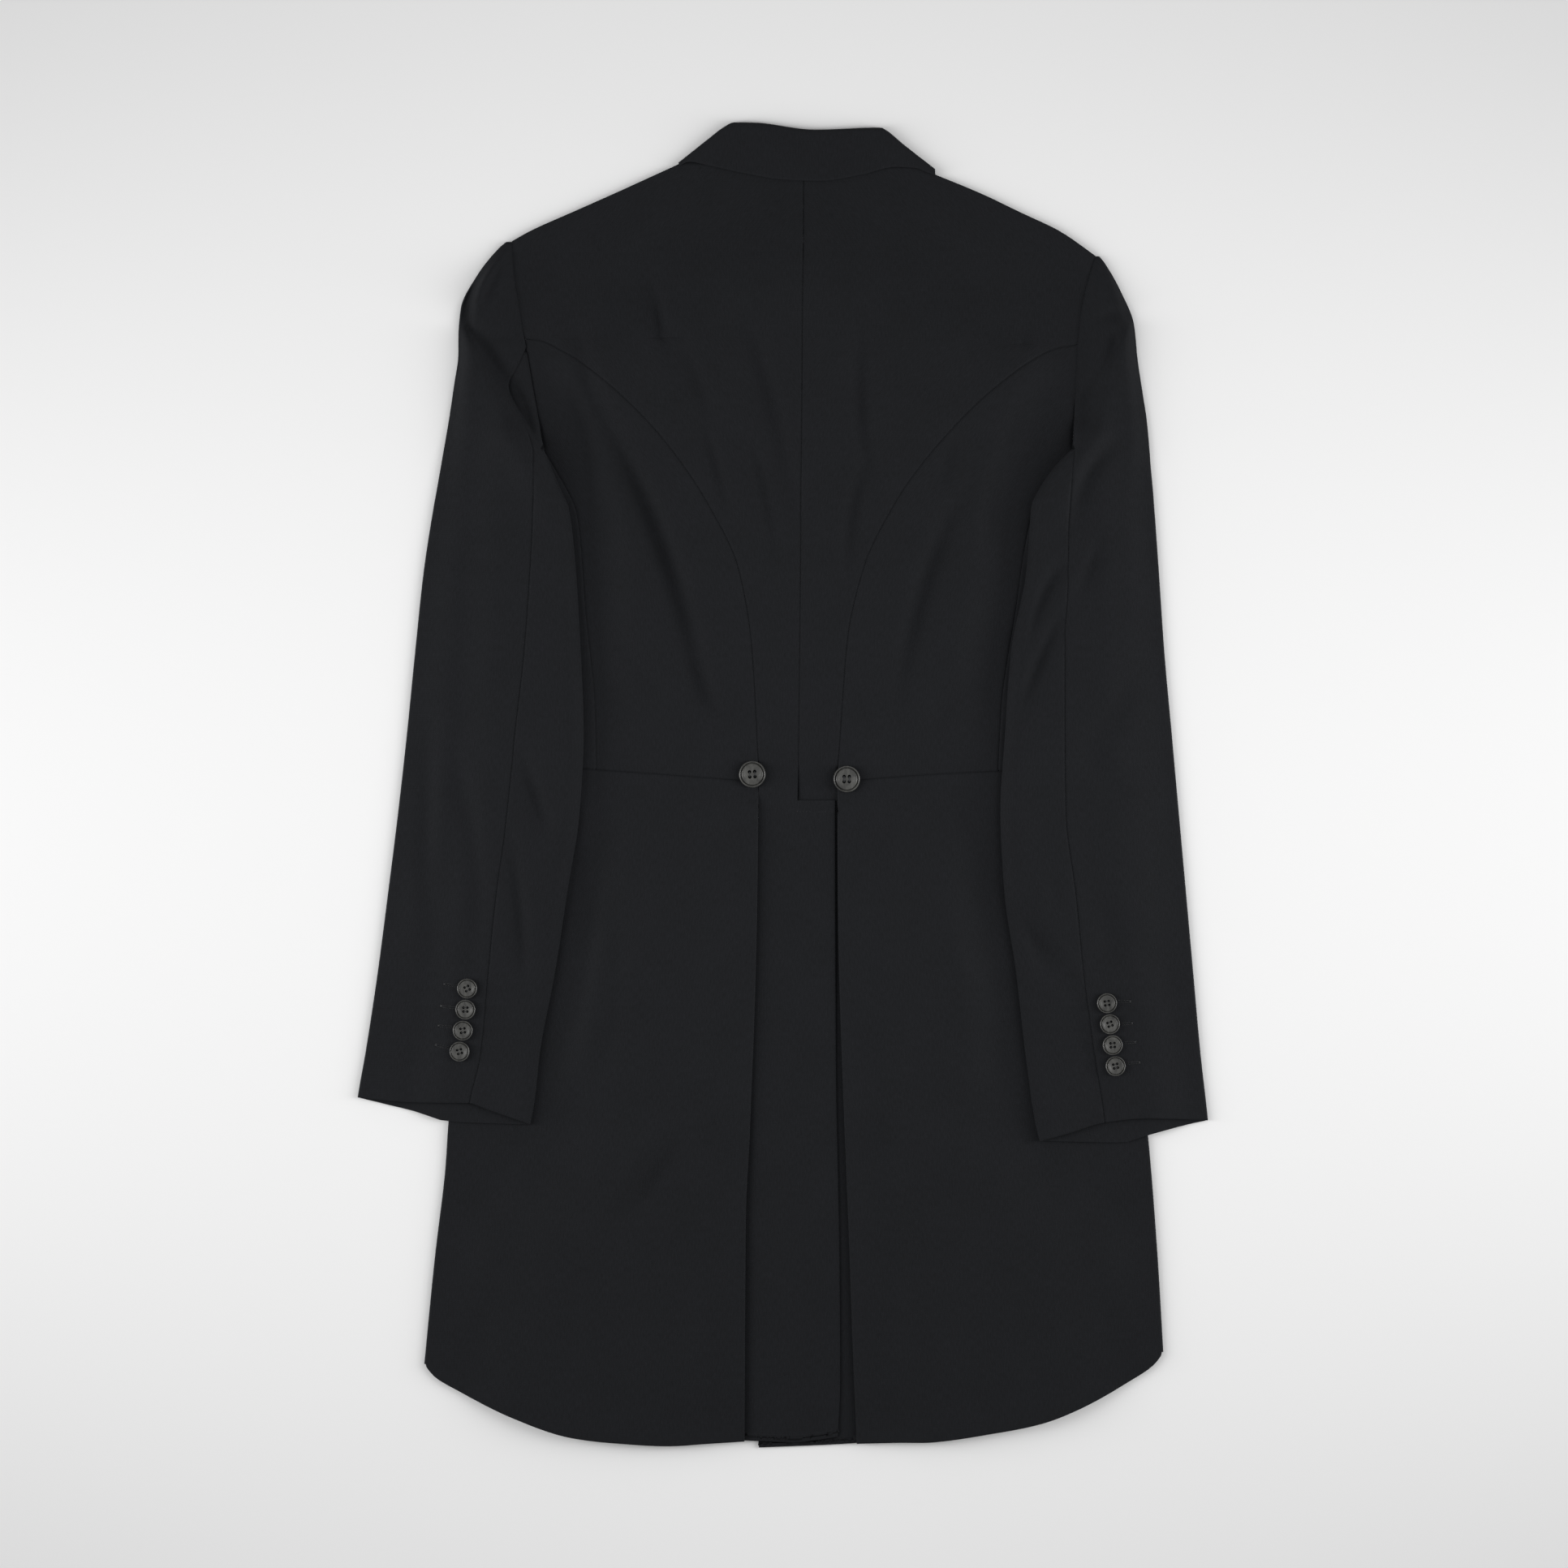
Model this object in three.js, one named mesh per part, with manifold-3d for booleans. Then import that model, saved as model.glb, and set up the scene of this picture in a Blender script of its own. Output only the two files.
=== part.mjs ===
// A morning coat laid flat on its front, back up. Millimetres, +Z up, +Y towards the collar,
// origin at the middle of the outline, on the surface that the coat lies on.
// "left" and "right" are as seen from above: left is -X.
import * as THREE from "three";
import Module from "manifold-3d";

const wasm = await Module();
wasm.setup();

// Cloth
const WALL = 1.4;
const SEAM_GAP = 0.3;
const CLEARANCE = 0.4;
const LAYER = WALL + CLEARANCE;
const PAIR = 3.8;
const FOLDED_PLEAT = WALL + LAYER;

// Heights of the undersides: the back panels over the fronts, the sleeves over the body
const BACK_BED = PAIR - WALL;
const SLEEVE_BED = PAIR + CLEARANCE;
const BODY_LOFT = 1.7;
const SLEEVE_LOFT = 1.3;

// Heights along the body, from the neck down
const NECK_Y = 463;
const SHOULDER_Y = { left: 408.4, right: 397.4 };
const PRINCESS_TOP_Y = { left: 335.2, right: 330.9 };
const UNDERARM_Y = 250;
const LAPEL_FOOT_Y = 34;
const VENT_TOP_Y = -11.3;
const PLEAT_TOP_Y = -25;
const FRONT_CORNER_Y = { left: -434.6, right: -425.5 };

// Widths
const PLEAT_DEPTH = 25;
const LIP_WIDTH = 9;
const LIP_HEIGHT = 2.4;

const CLOTH = { color: 0x222324, roughness: 0.9, metalness: 0 };
const HORN = { color: 0x5f5e5c, roughness: 0.45, metalness: 0 };

// The back: centre seam, outline from neck to waist (shoulder, armhole, princess seam), by height
const CENTRE_SEAM = [
  { y: 466, x: 15.2 }, { y: 224, x: 13.4 }, { y: 41, x: 11.6 }, { y: -12, x: 10.7 },
];
const SHOULDER = {
  left: [
    { y: 463, x: -85.4 }, { y: 443, x: -129.3 }, { y: 430, x: -158.6 }, { y: 417, x: -187.9 },
    { y: 408.4, x: -203.7 },
  ],
  right: [
    { y: 463, x: 102.5 }, { y: 444, x: 148.8 }, { y: 430, x: 178.1 }, { y: 416, x: 207.4 },
    { y: 397.4, x: 234.4 },
  ],
};
const ARMHOLE = {
  left: [
    { y: 408.4, x: -203.7 }, { y: 383, x: -201.9 }, { y: 360, x: -198.2 }, { y: 335.2, x: -194.2 },
    { y: 302, x: -188.5 }, { y: 278, x: -184.2 }, { y: 257, x: -180.6 }, { y: 250, x: -178.7 },
  ],
  right: [
    { y: 397.4, x: 234.4 }, { y: 372, x: 226.9 }, { y: 354, x: 223.3 }, { y: 330.9, x: 221 },
    { y: 305, x: 219.6 }, { y: 277, x: 218.4 }, { y: 257, x: 217.4 }, { y: 250, x: 217 },
  ],
};
const PRINCESS = {
  left: [
    { y: 335.2, x: -193.8 }, { y: 334, x: -182.4 }, { y: 326.7, x: -167.1 }, { y: 317, x: -151.3 },
    { y: 301.6, x: -131.8 }, { y: 261, x: -91.5 }, { y: 211, x: -56.7 }, { y: 161, x: -33.2 },
    { y: 106, x: -23.8 }, { y: 46, x: -20.1 }, { y: 4, x: -18.3 },
  ],
  right: [
    { y: 330.9, x: 220.6 }, { y: 328, x: 205 }, { y: 318, x: 185.4 }, { y: 303.5, x: 165.9 },
    { y: 287, x: 146.4 }, { y: 250, x: 111.6 }, { y: 213, x: 84.8 }, { y: 164, x: 60.7 },
    { y: 110, x: 48.2 }, { y: 56, x: 43.9 }, { y: 4, x: 40.6 },
  ],
};
const SIDE_SEAM = {
  left: [
    { y: 250, x: -178.4 }, { y: 200, x: -154.3 }, { y: 127, x: -148.2 }, { y: 60, x: -141.5 },
    { y: 4, x: -140.3 },
  ],
  right: [
    { y: 250, x: 216.7 }, { y: 200, x: 186 }, { y: 127, x: 174 }, { y: 60, x: 164 },
    { y: 4, x: 161 },
  ],
};

// The side fold of the body, hidden by the sleeve down to the cuff
const SIDE_FOLD = {
  left: [
    { y: 250, x: -207 }, { y: 23, x: -213.5 }, { y: -252, x: -251.3 }, { y: -288, x: -253.8 },
    { y: -355, x: -261.7 }, { y: -434.6, x: -269.6 },
  ],
  right: [
    { y: 250, x: 232 }, { y: 23, x: 238 }, { y: -263, x: 274 }, { y: -355, x: 281.3 },
    { y: -425.5, x: 285.5 },
  ],
};

// The fronts, as distances from the middle: lapel edge, roll line and cutaway edge
const LAPEL_EDGE = [
  { y: 466, reach: 82 }, { y: 440, reach: 100 }, { y: 405, reach: 124 }, { y: 300, reach: 98 },
  { y: 34, reach: 14 },
];
const ROLL_LINE = [{ y: 466, reach: 62 }, { y: 34, reach: 4 }];
const CUTAWAY = [
  { y: 20, reach: 1 }, { y: 0, reach: 8 }, { y: -30, reach: 38 }, { y: -60, reach: 70 },
  { y: -100, reach: 106 }, { y: -150, reach: 142 }, { y: -250, reach: 194 },
  { y: -350, reach: 236 }, { y: -434.6, reach: 268 },
];

// The tails and skirts: pleat folds, vent edge and hem
const PLEAT = {
  left: [
    { y: 4, x: -18.3 }, { y: -111, x: -19.8 }, { y: -261, x: -25 }, { y: -324, x: -27.9 },
    { y: -492, x: -29 },
  ],
  right: [
    { y: 4, x: 40.6 }, { y: -50, x: 41.5 }, { y: -203, x: 43.9 }, { y: -339, x: 49.2 },
    { y: -425, x: 52.2 }, { y: -494, x: 55.1 },
  ],
};
const VENT_EDGE = [
  { y: -11, x: 38.9 }, { y: -203, x: 39.5 }, { y: -349, x: 42.1 }, { y: -444, x: 42.7 },
  { y: -488, x: 40.9 },
];
const HEM = {
  left: [
    { x: -269.6, y: -434.6 }, { x: -262, y: -443.8 }, { x: -246, y: -453.5 },
    { x: -202.5, y: -474.3 }, { x: -158.6, y: -488.9 }, { x: -129.3, y: -492.6 },
    { x: -85.4, y: -495 }, { x: -24.4, y: -492 },
  ],
  right: [
    { x: 54.9, y: -494.1 }, { x: 105, y: -492.6 }, { x: 163.5, y: -484.6 },
    { x: 192.8, y: -478.5 }, { x: 222, y: -467.6 }, { x: 261, y: -446.8 },
    { x: 278.8, y: -434.6 }, { x: 285.5, y: -425.5 },
  ],
};
const TAIL_HEM = {
  left: [{ x: -54, y: -489.5 }, { x: 20, y: -491 }, { x: 43, y: -487.7 }],
  right: [{ x: -18.3, y: -497.5 }, { x: 55, y: -494.1 }, { x: 81, y: -490 }],
};
const WAIST = {
  left: [{ x: -214, y: 16.8 }, { x: -100, y: 8.8 }, { x: -18, y: 2.7 }],
  right: [{ x: 40, y: 2.7 }, { x: 113, y: 8.2 }, { x: 238, y: 13.7 }],
};

// The sleeves: outer fold, hindarm seam and inner fold, by height. At the head the seam runs
// into the armhole, and so does the inner fold.
const SLEEVE_HEAD = {
  left: [
    { y: 407.8, outer: -208.3 }, { y: 404, outer: -212.9 }, { y: 383, outer: -229.8 },
    { y: 358, outer: -242.2 }, { y: 335, outer: -244 }, { y: 325, outer: -244 },
    { y: 300, outer: -247.3 }, { y: 275, outer: -251 },
  ],
  right: [
    { y: 397, outer: 237.6 }, { y: 392, outer: 241.6 }, { y: 371, outer: 253.5 },
    { y: 346, outer: 263.5 }, { y: 320, outer: 266.2 }, { y: 290, outer: 270.7 },
    { y: 275, outer: 273 },
  ],
};
const SLEEVE = {
  left: [
    { y: 250, outer: -255.3, seam: -187.2, inner: -181.6 },
    { y: 222, outer: -260.2, seam: -186.7, inner: -168.6 },
    { y: 207, outer: -262.9, seam: -187.2, inner: -161.6 },
    { y: 160, outer: -270.1, seam: -189.6, inner: -158.3 },
    { y: 100, outer: -276.5, seam: -193.9, inner: -151.8 },
    { y: 40, outer: -282.5, seam: -200.7, inner: -149.6 },
    { y: -20, outer: -289.2, seam: -206.7, inner: -152.6 },
    { y: -80, outer: -296.7, seam: -214.6, inner: -161.8 },
    { y: -140, outer: -304.5, seam: -221, inner: -171 },
    { y: -200, outer: -313.6, seam: -226.5, inner: -182.3 },
    { y: -234.5, outer: -319.6, seam: -234.5, inner: -186.1 },
    { y: -256, outer: -322, seam: -239, inner: -189.9 },
  ],
  right: [
    { y: 250, outer: 275.3, seam: 218.3, inner: 202.4 },
    { y: 222, outer: 277.7, seam: 215.4, inner: 183.7 },
    { y: 209, outer: 278.7, seam: 214.5, inner: 177.6 },
    { y: 190, outer: 280.1, seam: 213.5, inner: 181.2 },
    { y: 160, outer: 282.2, seam: 213.4, inner: 182.2 },
    { y: 100, outer: 286.3, seam: 210.9, inner: 170.8 },
    { y: 40, outer: 291.7, seam: 210.9, inner: 166.4 },
    { y: -20, outer: 297.1, seam: 211.6, inner: 162.8 },
    { y: -80, outer: 302.5, seam: 218.9, inner: 165.8 },
    { y: -140, outer: 307.9, seam: 225.1, inner: 174.5 },
    { y: -200, outer: 313.3, seam: 233.3, inner: 181.4 },
    { y: -250, outer: 318.9, seam: 240.8, inner: 188.4 },
    { y: -268, outer: 320.5, seam: 242.5, inner: 192.4 },
  ],
};
const HINDARM_HEAD = {
  left: [
    { y: 328, seam: -193.2 }, { y: 312, seam: -200.5 }, { y: 300, seam: -206.1 },
    { y: 275, seam: -196.1 }, { y: 257, seam: -189 },
  ],
  right: [{ y: 277, seam: 218.5 }, { y: 262, seam: 218.4 }],
};
const FOREARM_SEAM = 0.3;
const CUFF_TOP = {
  left: [
    { x: -319.6, y: -234.5 }, { x: -277, y: -238 }, { x: -235.5, y: -238.2 },
    { x: -222.7, y: -242.5 }, { x: -189.7, y: -254.1 },
  ],
  right: [
    { x: 192.8, y: -266.9 }, { x: 215.9, y: -260.2 }, { x: 240.9, y: -252.8 },
    { x: 272, y: -249.8 }, { x: 319, y: -251.6 },
  ],
};
const CUFF_UNDER = {
  left: [
    { x: -319.6, y: -234.5 }, { x: -299.5, y: -239.4 }, { x: -274.5, y: -245.5 },
    { x: -251.3, y: -252.2 }, { x: -189.7, y: -254.7 },
  ],
  right: [
    { x: 192.8, y: -266.9 }, { x: 255, y: -268.1 }, { x: 272, y: -263 },
    { x: 304.4, y: -254.7 }, { x: 319, y: -251.6 },
  ],
};

// The collar: the fall's lower edge and the crest that it folds over at
const COLLAR_EDGE = [
  { x: -78.5, y: 464.5 }, { x: -71, y: 467.8 }, { x: -54, y: 464.5 }, { x: -32, y: 459.6 },
  { x: 0, y: 454.4 }, { x: 28, y: 453.4 }, { x: 58, y: 457.8 }, { x: 85, y: 463.9 },
  { x: 101, y: 464.2 }, { x: 114, y: 459.6 },
];
const COLLAR_CREST = [
  { x: -78.5, y: 467.5 }, { x: -56.1, y: 485.2 }, { x: -43.9, y: 494.4 }, { x: -37, y: 497.5 },
  { x: -22, y: 497.3 }, { x: 24, y: 492 }, { x: 73.2, y: 493.6 }, { x: 77, y: 491.8 },
  { x: 90.3, y: 481 }, { x: 114, y: 462.6 },
];
const COLLAR_RISE = 1.2;

// Soft folds that lie in the cloth: a curve from start past middle to end, trough depth and
// half width. A negative depth is a ridge.
const FOLDS = {
  body: [
    { start: [-148, 310], middle: [-93, 176], end: [-45, 42], depth: 1.7, width: 15 },
    { start: [-102, 393], middle: [-96, 364], end: [-91, 335], depth: 1, width: 13 },
    { start: [-33, 334], middle: [-8, 273], end: [0, 175], depth: 1, width: 12 },
    { start: [59, 358], middle: [57, 260], end: [51, 176], depth: 1.1, width: 13 },
    { start: [130, 252], middle: [112, 180], end: [87, 66], depth: 1.5, width: 14 },
    { start: [178, 285], middle: [168, 240], end: [157, 202], depth: 1, width: 14 },
    { start: [-141, 11], middle: [-145, -48], end: [-154, -158], depth: 1.5, width: 11 },
    { start: [170, 5], middle: [158, -47], end: [166, -110], depth: 1.4, width: 15 },
    { start: [-91, -274], middle: [-103, -292], end: [-115, -309], depth: 0.8, width: 16 },
  ],
  left: [
    { start: [-210, 395], middle: [-225, 368], end: [-229, 340], depth: -1.4, width: 7 },
    { start: [-232, 120], middle: [-240, 20], end: [-262, -120], depth: 0.9, width: 14 },
  ],
  right: [
    { start: [248, 254], middle: [225, 225], end: [219, 190], depth: 1.3, width: 10 },
    { start: [212, 166], middle: [198, 145], end: [184, 102], depth: 1.2, width: 9 },
    { start: [233, 169], middle: [206, 124], end: [181, 56], depth: 1.3, width: 10 },
    { start: [183, -106], middle: [208, -141], end: [226, -163], depth: 1.1, width: 9 },
  ],
};

// Buttons: middle, and the turn of the four holes in degrees
const WAIST_BUTTON = { diameter: 20, thickness: 3.2 };
const CUFF_BUTTON = { diameter: 15, thickness: 2.6 };
const WAIST_BUTTONS = [
  { name: "waist_button_left", x: -23.2, y: 8.2, turn: 4 },
  { name: "waist_button_right", x: 47.6, y: 4.6, turn: 0 },
];
const CUFF_BUTTONS = [
  { name: "cuff_button_left_1", x: -236.6, y: -152.2, turn: 25 },
  { name: "cuff_button_left_2", x: -237.9, y: -168, turn: 0 },
  { name: "cuff_button_left_3", x: -239.9, y: -183.7, turn: 8 },
  { name: "cuff_button_left_4", x: -242.3, y: -199.4, turn: 15 },
  { name: "cuff_button_right_1", x: 242.4, y: -163.2, turn: 8 },
  { name: "cuff_button_right_2", x: 244.6, y: -178.9, turn: 20 },
  { name: "cuff_button_right_3", x: 246.6, y: -194.6, turn: 5 },
  { name: "cuff_button_right_4", x: 248.8, y: -210.3, turn: 12 },
];

const mix = (from, to, t) => from + (to - from) * t;
const smooth = (from, to, value) => THREE.MathUtils.smoothstep(value, from, to);
const fallOff = (from, to, value) => 1 - smooth(from, to, value);
const sides = ["left", "right"];
const outward = { left: -1, right: 1 };

// A smooth line through a table's rows: the value column at any place along the key column,
// with no overshoot between rows (a monotone cubic).
function lineThrough(rows, key, value) {
  const sorted = [...rows].sort((a, b) => a[key] - b[key]);
  const at = sorted.map((row) => row[key]);
  const to = sorted.map((row) => row[value]);
  const rise = at.slice(1).map((place, i) => (to[i + 1] - to[i]) / (place - at[i]));
  const slope = at.map((_, i) => {
    if (i === 0) return rise[0];
    if (i === at.length - 1) return rise[i - 1];
    return rise[i - 1] * rise[i] <= 0 ? 0 : (2 * rise[i - 1] * rise[i]) / (rise[i - 1] + rise[i]);
  });
  return (place) => {
    const last = at.length - 1;
    if (place <= at[0]) return to[0] + slope[0] * (place - at[0]);
    if (place >= at[last]) return to[last] + slope[last] * (place - at[last]);
    let i = 0;
    while (place > at[i + 1]) i++;
    const width = at[i + 1] - at[i];
    const t = (place - at[i]) / width;
    const ease = t * t * (3 - 2 * t);
    return (
      mix(to[i], to[i + 1], ease) +
      width * t * (1 - t) * (slope[i] * (1 - t) - slope[i + 1] * t)
    );
  };
}

// The same line moved sideways, so that the gap across it keeps its width where it slants.
function movedLine(line, amount) {
  const step = 0.5;
  return (place) => {
    const slope = (line(place + step) - line(place - step)) / (2 * step);
    return line(place) + amount * Math.min(Math.hypot(1, slope), 6);
  };
}

const byHeight = (rows, value = "x") => lineThrough(rows, "y", value);
const byWidth = (rows) => lineThrough(rows, "x", "y");
const bothSides = (make) => ({ left: make("left"), right: make("right") });

const centre = byHeight(CENTRE_SEAM);
const shoulder = bothSides((side) => byHeight(SHOULDER[side]));
const armhole = bothSides((side) => byHeight(ARMHOLE[side]));
const princess = bothSides((side) => byHeight(PRINCESS[side]));
const sideSeam = bothSides((side) => byHeight(SIDE_SEAM[side]));
const sideFold = bothSides((side) => byHeight(SIDE_FOLD[side]));
const pleat = bothSides((side) => byHeight(PLEAT[side]));
const hem = bothSides((side) => byWidth(HEM[side]));
const tailHem = bothSides((side) => byWidth(TAIL_HEM[side]));
const waist = bothSides((side) => byWidth(WAIST[side]));
const cuffTop = bothSides((side) => byWidth(CUFF_TOP[side]));
const cuffUnder = bothSides((side) => byWidth(CUFF_UNDER[side]));
const sleeve = bothSides((side) => {
  const seam = byHeight([...HINDARM_HEAD[side], ...SLEEVE[side]], "seam");
  const inner = byHeight(SLEEVE[side], "inner");
  return {
    outer: byHeight([...SLEEVE_HEAD[side], ...SLEEVE[side]], "outer"),
    seam: (y) => (y > HINDARM_HEAD[side][0].y - 1 ? armhole[side](y) : seam(y)),
    inner: (y) => (y > UNDERARM_Y + 2 ? armhole[side](y) : inner(y)),
  };
});
const ventEdge = byHeight(VENT_EDGE);
const lapelEdge = byHeight(LAPEL_EDGE, "reach");
const rollLine = byHeight(ROLL_LINE, "reach");
const cutaway = byHeight(CUTAWAY, "reach");
const collarEdge = byWidth(COLLAR_EDGE);
const collarCrest = byWidth(COLLAR_CREST);

// The relief of the soft folds at a point: each is a curve, deepest at its middle.
function relief(folds, x, y) {
  let height = 0;
  for (const { start, middle, end, depth, width } of folds) {
    const curve = [start, middle, end];
    let best = { away: Infinity, along: 0 };
    for (let i = 0; i < 2; i++) {
      const [ax, ay] = curve[i];
      const [bx, by] = curve[i + 1];
      const length = Math.hypot(bx - ax, by - ay);
      const t = ((x - ax) * (bx - ax) + (y - ay) * (by - ay)) / (length * length);
      const held = THREE.MathUtils.clamp(t, 0, 1);
      const away = Math.hypot(x - mix(ax, bx, held), y - mix(ay, by, held));
      if (away < best.away) best = { away, along: (i + held) / 2 };
    }
    const taper = 0.25 + 0.75 * Math.sin(Math.PI * best.along);
    height -= depth * taper * Math.exp(-((best.away / width) ** 2));
  }
  return height;
}

// How far the back may rise: none at the outline, under the collar and under the sleeves.
function bodyOpenness(x, y) {
  const side = x < centre(y) ? "left" : "right";
  const edge = y > UNDERARM_Y ? armhole[side](y) : sleeve[side].inner(Math.max(y, -256));
  const belowCuff = fallOff(-330, -262, y);
  const limit = mix(edge, sideFold[side](y), belowCuff);
  const inside = (limit - x) * outward[side];
  const down = y > 300 ? (side === "left" ? 463 : 459) - 0.46 * Math.abs(x - centre(y)) - y : 60;
  return smooth(3, 34, inside) * smooth(8, 36, down);
}

// The underside of the back layer: on the fronts where they lie below it, else on the floor. The
// tails and the pleats between them come down all at one slope.
const TAILS_REACH = { from: 60, to: 92 };
function backBed(x, y) {
  const away = Math.abs(x - centre(Math.max(y, -60)));
  const from = Math.max(cutaway(y) - 28, TAILS_REACH.from);
  const to = Math.max(cutaway(y) - 3, TAILS_REACH.to);
  return BACK_BED * Math.max(smooth(from, to, away), smooth(-150, -60, y));
}

const backUnderside = (x, y) =>
  backBed(x, y) + bodyOpenness(x, y) * Math.max(0, BODY_LOFT + relief(FOLDS.body, x, y));

// The left tail climbs over the right one's underlap.
const tailLift = (x, y) => LAYER * smooth(-34, -20, x) * fallOff(-9, 22, y);
const tailBed = (x, y) => mix(backBed(x, y), backUnderside(x, y), smooth(-12, 30, y));
const tailUnderside = { left: (x, y) => tailBed(x, y) + tailLift(x, y), right: tailBed };

// The skirts climb over the pleat's hidden layers.
function skirtUnderside(side, x, y) {
  const inside = (x - pleat[side](y)) * outward[side];
  const stack = fallOff(PLEAT_DEPTH + 3, PLEAT_DEPTH + 32, inside) * fallOff(PLEAT_TOP_Y, 0, y);
  const lift = side === "left" ? tailLift(pleat.left(y) + 2, y) : 0;
  return mix(backUnderside(x, y), backBed(x, y) + 2 * LAYER + lift, stack);
}

// The sleeves' undersides lie on the body, and slope down to the floor beyond its side fold.
const SLEEVE_SLOPE = { top: 3, foot: 34 };
function sleeveBed(side, x, y) {
  const beyond = (x - sideFold[side](Math.min(y, UNDERARM_Y))) * outward[side];
  const overBody = fallOff(SLEEVE_SLOPE.top, SLEEVE_SLOPE.foot, beyond);
  return SLEEVE_BED * overBody * fallOff(UNDERARM_Y + 6, UNDERARM_Y + 30, y);
}

// Stops across a sleeve's underside, from its outer fold to the forearm seam, with one at each
// end of the slope down to the floor.
function undersideStops(side, y, from, to) {
  const out = outward[side];
  const fold = sideFold[side](Math.min(y, UNDERARM_Y)) * out;
  const spacing = ((from - to) * out) / 4;
  const foot = Math.min(fold + SLEEVE_SLOPE.foot, from * out - spacing);
  const top = Math.max(Math.min(fold + SLEEVE_SLOPE.top, foot - spacing), to * out + spacing);
  return [from, foot * out, top * out, to];
}

// How far a point lies on the lower side of the left sleeve's slanting fold at the head.
const LIP = { from: [-244, 349], to: [-188.5, 258.9] };
function beyondLip(x, y) {
  const [ax, ay] = LIP.from;
  const [bx, by] = LIP.to;
  return ((by - ay) * (x - ax) - (bx - ax) * (y - ay)) / Math.hypot(bx - ax, by - ay);
}

function sleeveTop(side, x, y) {
  const { outer, inner } = sleeve[side];
  const across = THREE.MathUtils.clamp((x - outer(y)) / (inner(y) - outer(y)), 0, 1);
  const crown = smooth(0, 0.25, across) * (y > UNDERARM_Y ? 1 : fallOff(0.72, 1, across));
  const head = y > UNDERARM_Y ? fallOff(0.5, 1, across) : 1;
  const raised = Math.max(-0.4, SLEEVE_LOFT * head + relief(FOLDS[side], x, y));
  let top = PAIR + sleeveBed(side, x, y) + crown * raised;
  if (side === "left") {
    const beyond = beyondLip(x, y);
    const near = Math.exp(-((beyond / 45) ** 2)) * smooth(205, 262, y);
    top += LIP_HEIGHT * near * smooth(-LIP_WIDTH, 0, beyond) * smooth(0, 0.2, across);
  }
  return top;
}

// A closed wall over the active cells of a grid: each knot holds a place on the outside and the
// way in to the inside of the wall.
function wallOver(knots, active) {
  const rows = knots.length;
  const columns = knots[0].length;
  const positions = [];
  const numbers = new Map();
  const isActive = (j, i) => j >= 0 && i >= 0 && j < rows - 1 && i < columns - 1 && active(j, i);
  const corner = (j, i, isInner) => {
    const id = (j * columns + i) * 2 + isInner;
    if (!numbers.has(id)) {
      const { place, inward } = knots[j][i];
      const point = place.clone().addScaledVector(inward, isInner * WALL);
      numbers.set(id, positions.length / 3);
      positions.push(point.x, point.y, point.z);
    }
    return numbers.get(id);
  };
  const faces = [];
  const quad = (a, b, c, d) => faces.push(a, b, c, a, c, d);
  for (let j = 0; j < rows - 1; j++) {
    for (let i = 0; i < columns - 1; i++) {
      if (!isActive(j, i)) continue;
      const ring = [[j, i], [j + 1, i], [j + 1, i + 1], [j, i + 1]];
      const outside = ring.map(([row, column]) => corner(row, column, 0));
      const inside = ring.map(([row, column]) => corner(row, column, 1));
      quad(...outside);
      quad(...inside.toReversed());
      const beside = [isActive(j, i - 1), isActive(j + 1, i), isActive(j, i + 1), isActive(j - 1, i)];
      for (let k = 0; k < 4; k++) {
        const next = (k + 1) % 4;
        if (!beside[k]) quad(outside[next], outside[k], inside[k], inside[next]);
      }
    }
  }
  return facingOut(positions, faces);
}

// A geometry whose faces point out: the signed volume says which way they wind.
function facingOut(positions, faces) {
  let volume = 0;
  const point = (index) => new THREE.Vector3().fromArray(positions, index * 3);
  for (let f = 0; f < faces.length; f += 3) {
    const [a, b, c] = [point(faces[f]), point(faces[f + 1]), point(faces[f + 2])];
    volume += a.dot(b.cross(c));
  }
  const wound = volume < 0 ? faces.toReversed() : faces;
  const geometry = new THREE.BufferGeometry();
  geometry.setAttribute("position", new THREE.Float32BufferAttribute(positions, 3));
  geometry.setIndex(wound);
  return geometry;
}

function meshOf(name, geometry, finish) {
  const mesh = new THREE.Mesh(geometry, new THREE.MeshStandardMaterial(finish));
  mesh.name = name;
  return mesh;
}

const DOWN = new THREE.Vector3(0, 0, -1);
const UP = new THREE.Vector3(0, 0, 1);
const knot = (x, y, z, inward) => ({ place: new THREE.Vector3(x, y, z), inward });
const steps = (from, to, count) =>
  Array.from({ length: count }, (_, i) => mix(from, to, (i + 1) / count));
const shares = (part, count, from = 0) =>
  Array.from({ length: count + 1 - from }, (_, i) => ({ part, t: (i + from) / count }));

// A knot on the round of a fold whose edge is at x = edge, open towards the middle of the cloth.
function foldKnot(edge, facing, y, bottom, top, t) {
  const radius = (top - bottom) / 2;
  const angle = Math.PI * (0.5 - t);
  const across = Math.cos(angle) * facing;
  const up = Math.sin(angle);
  const x = edge - facing * radius + radius * across;
  return knot(x, y, bottom + radius + radius * up, new THREE.Vector3(-across, 0, -up));
}

// A place on lines that lean: x follows from y and y from x, so both are settled in turn.
function settle(t, startAt, endAt, xAt) {
  let y = mix(startAt(0), endAt(0), t);
  let x = xAt(y);
  for (let turn = 0; turn < 6; turn++) {
    y = mix(startAt(x), endAt(x), t);
    x = xAt(y);
  }
  return { x, y };
}

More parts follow.
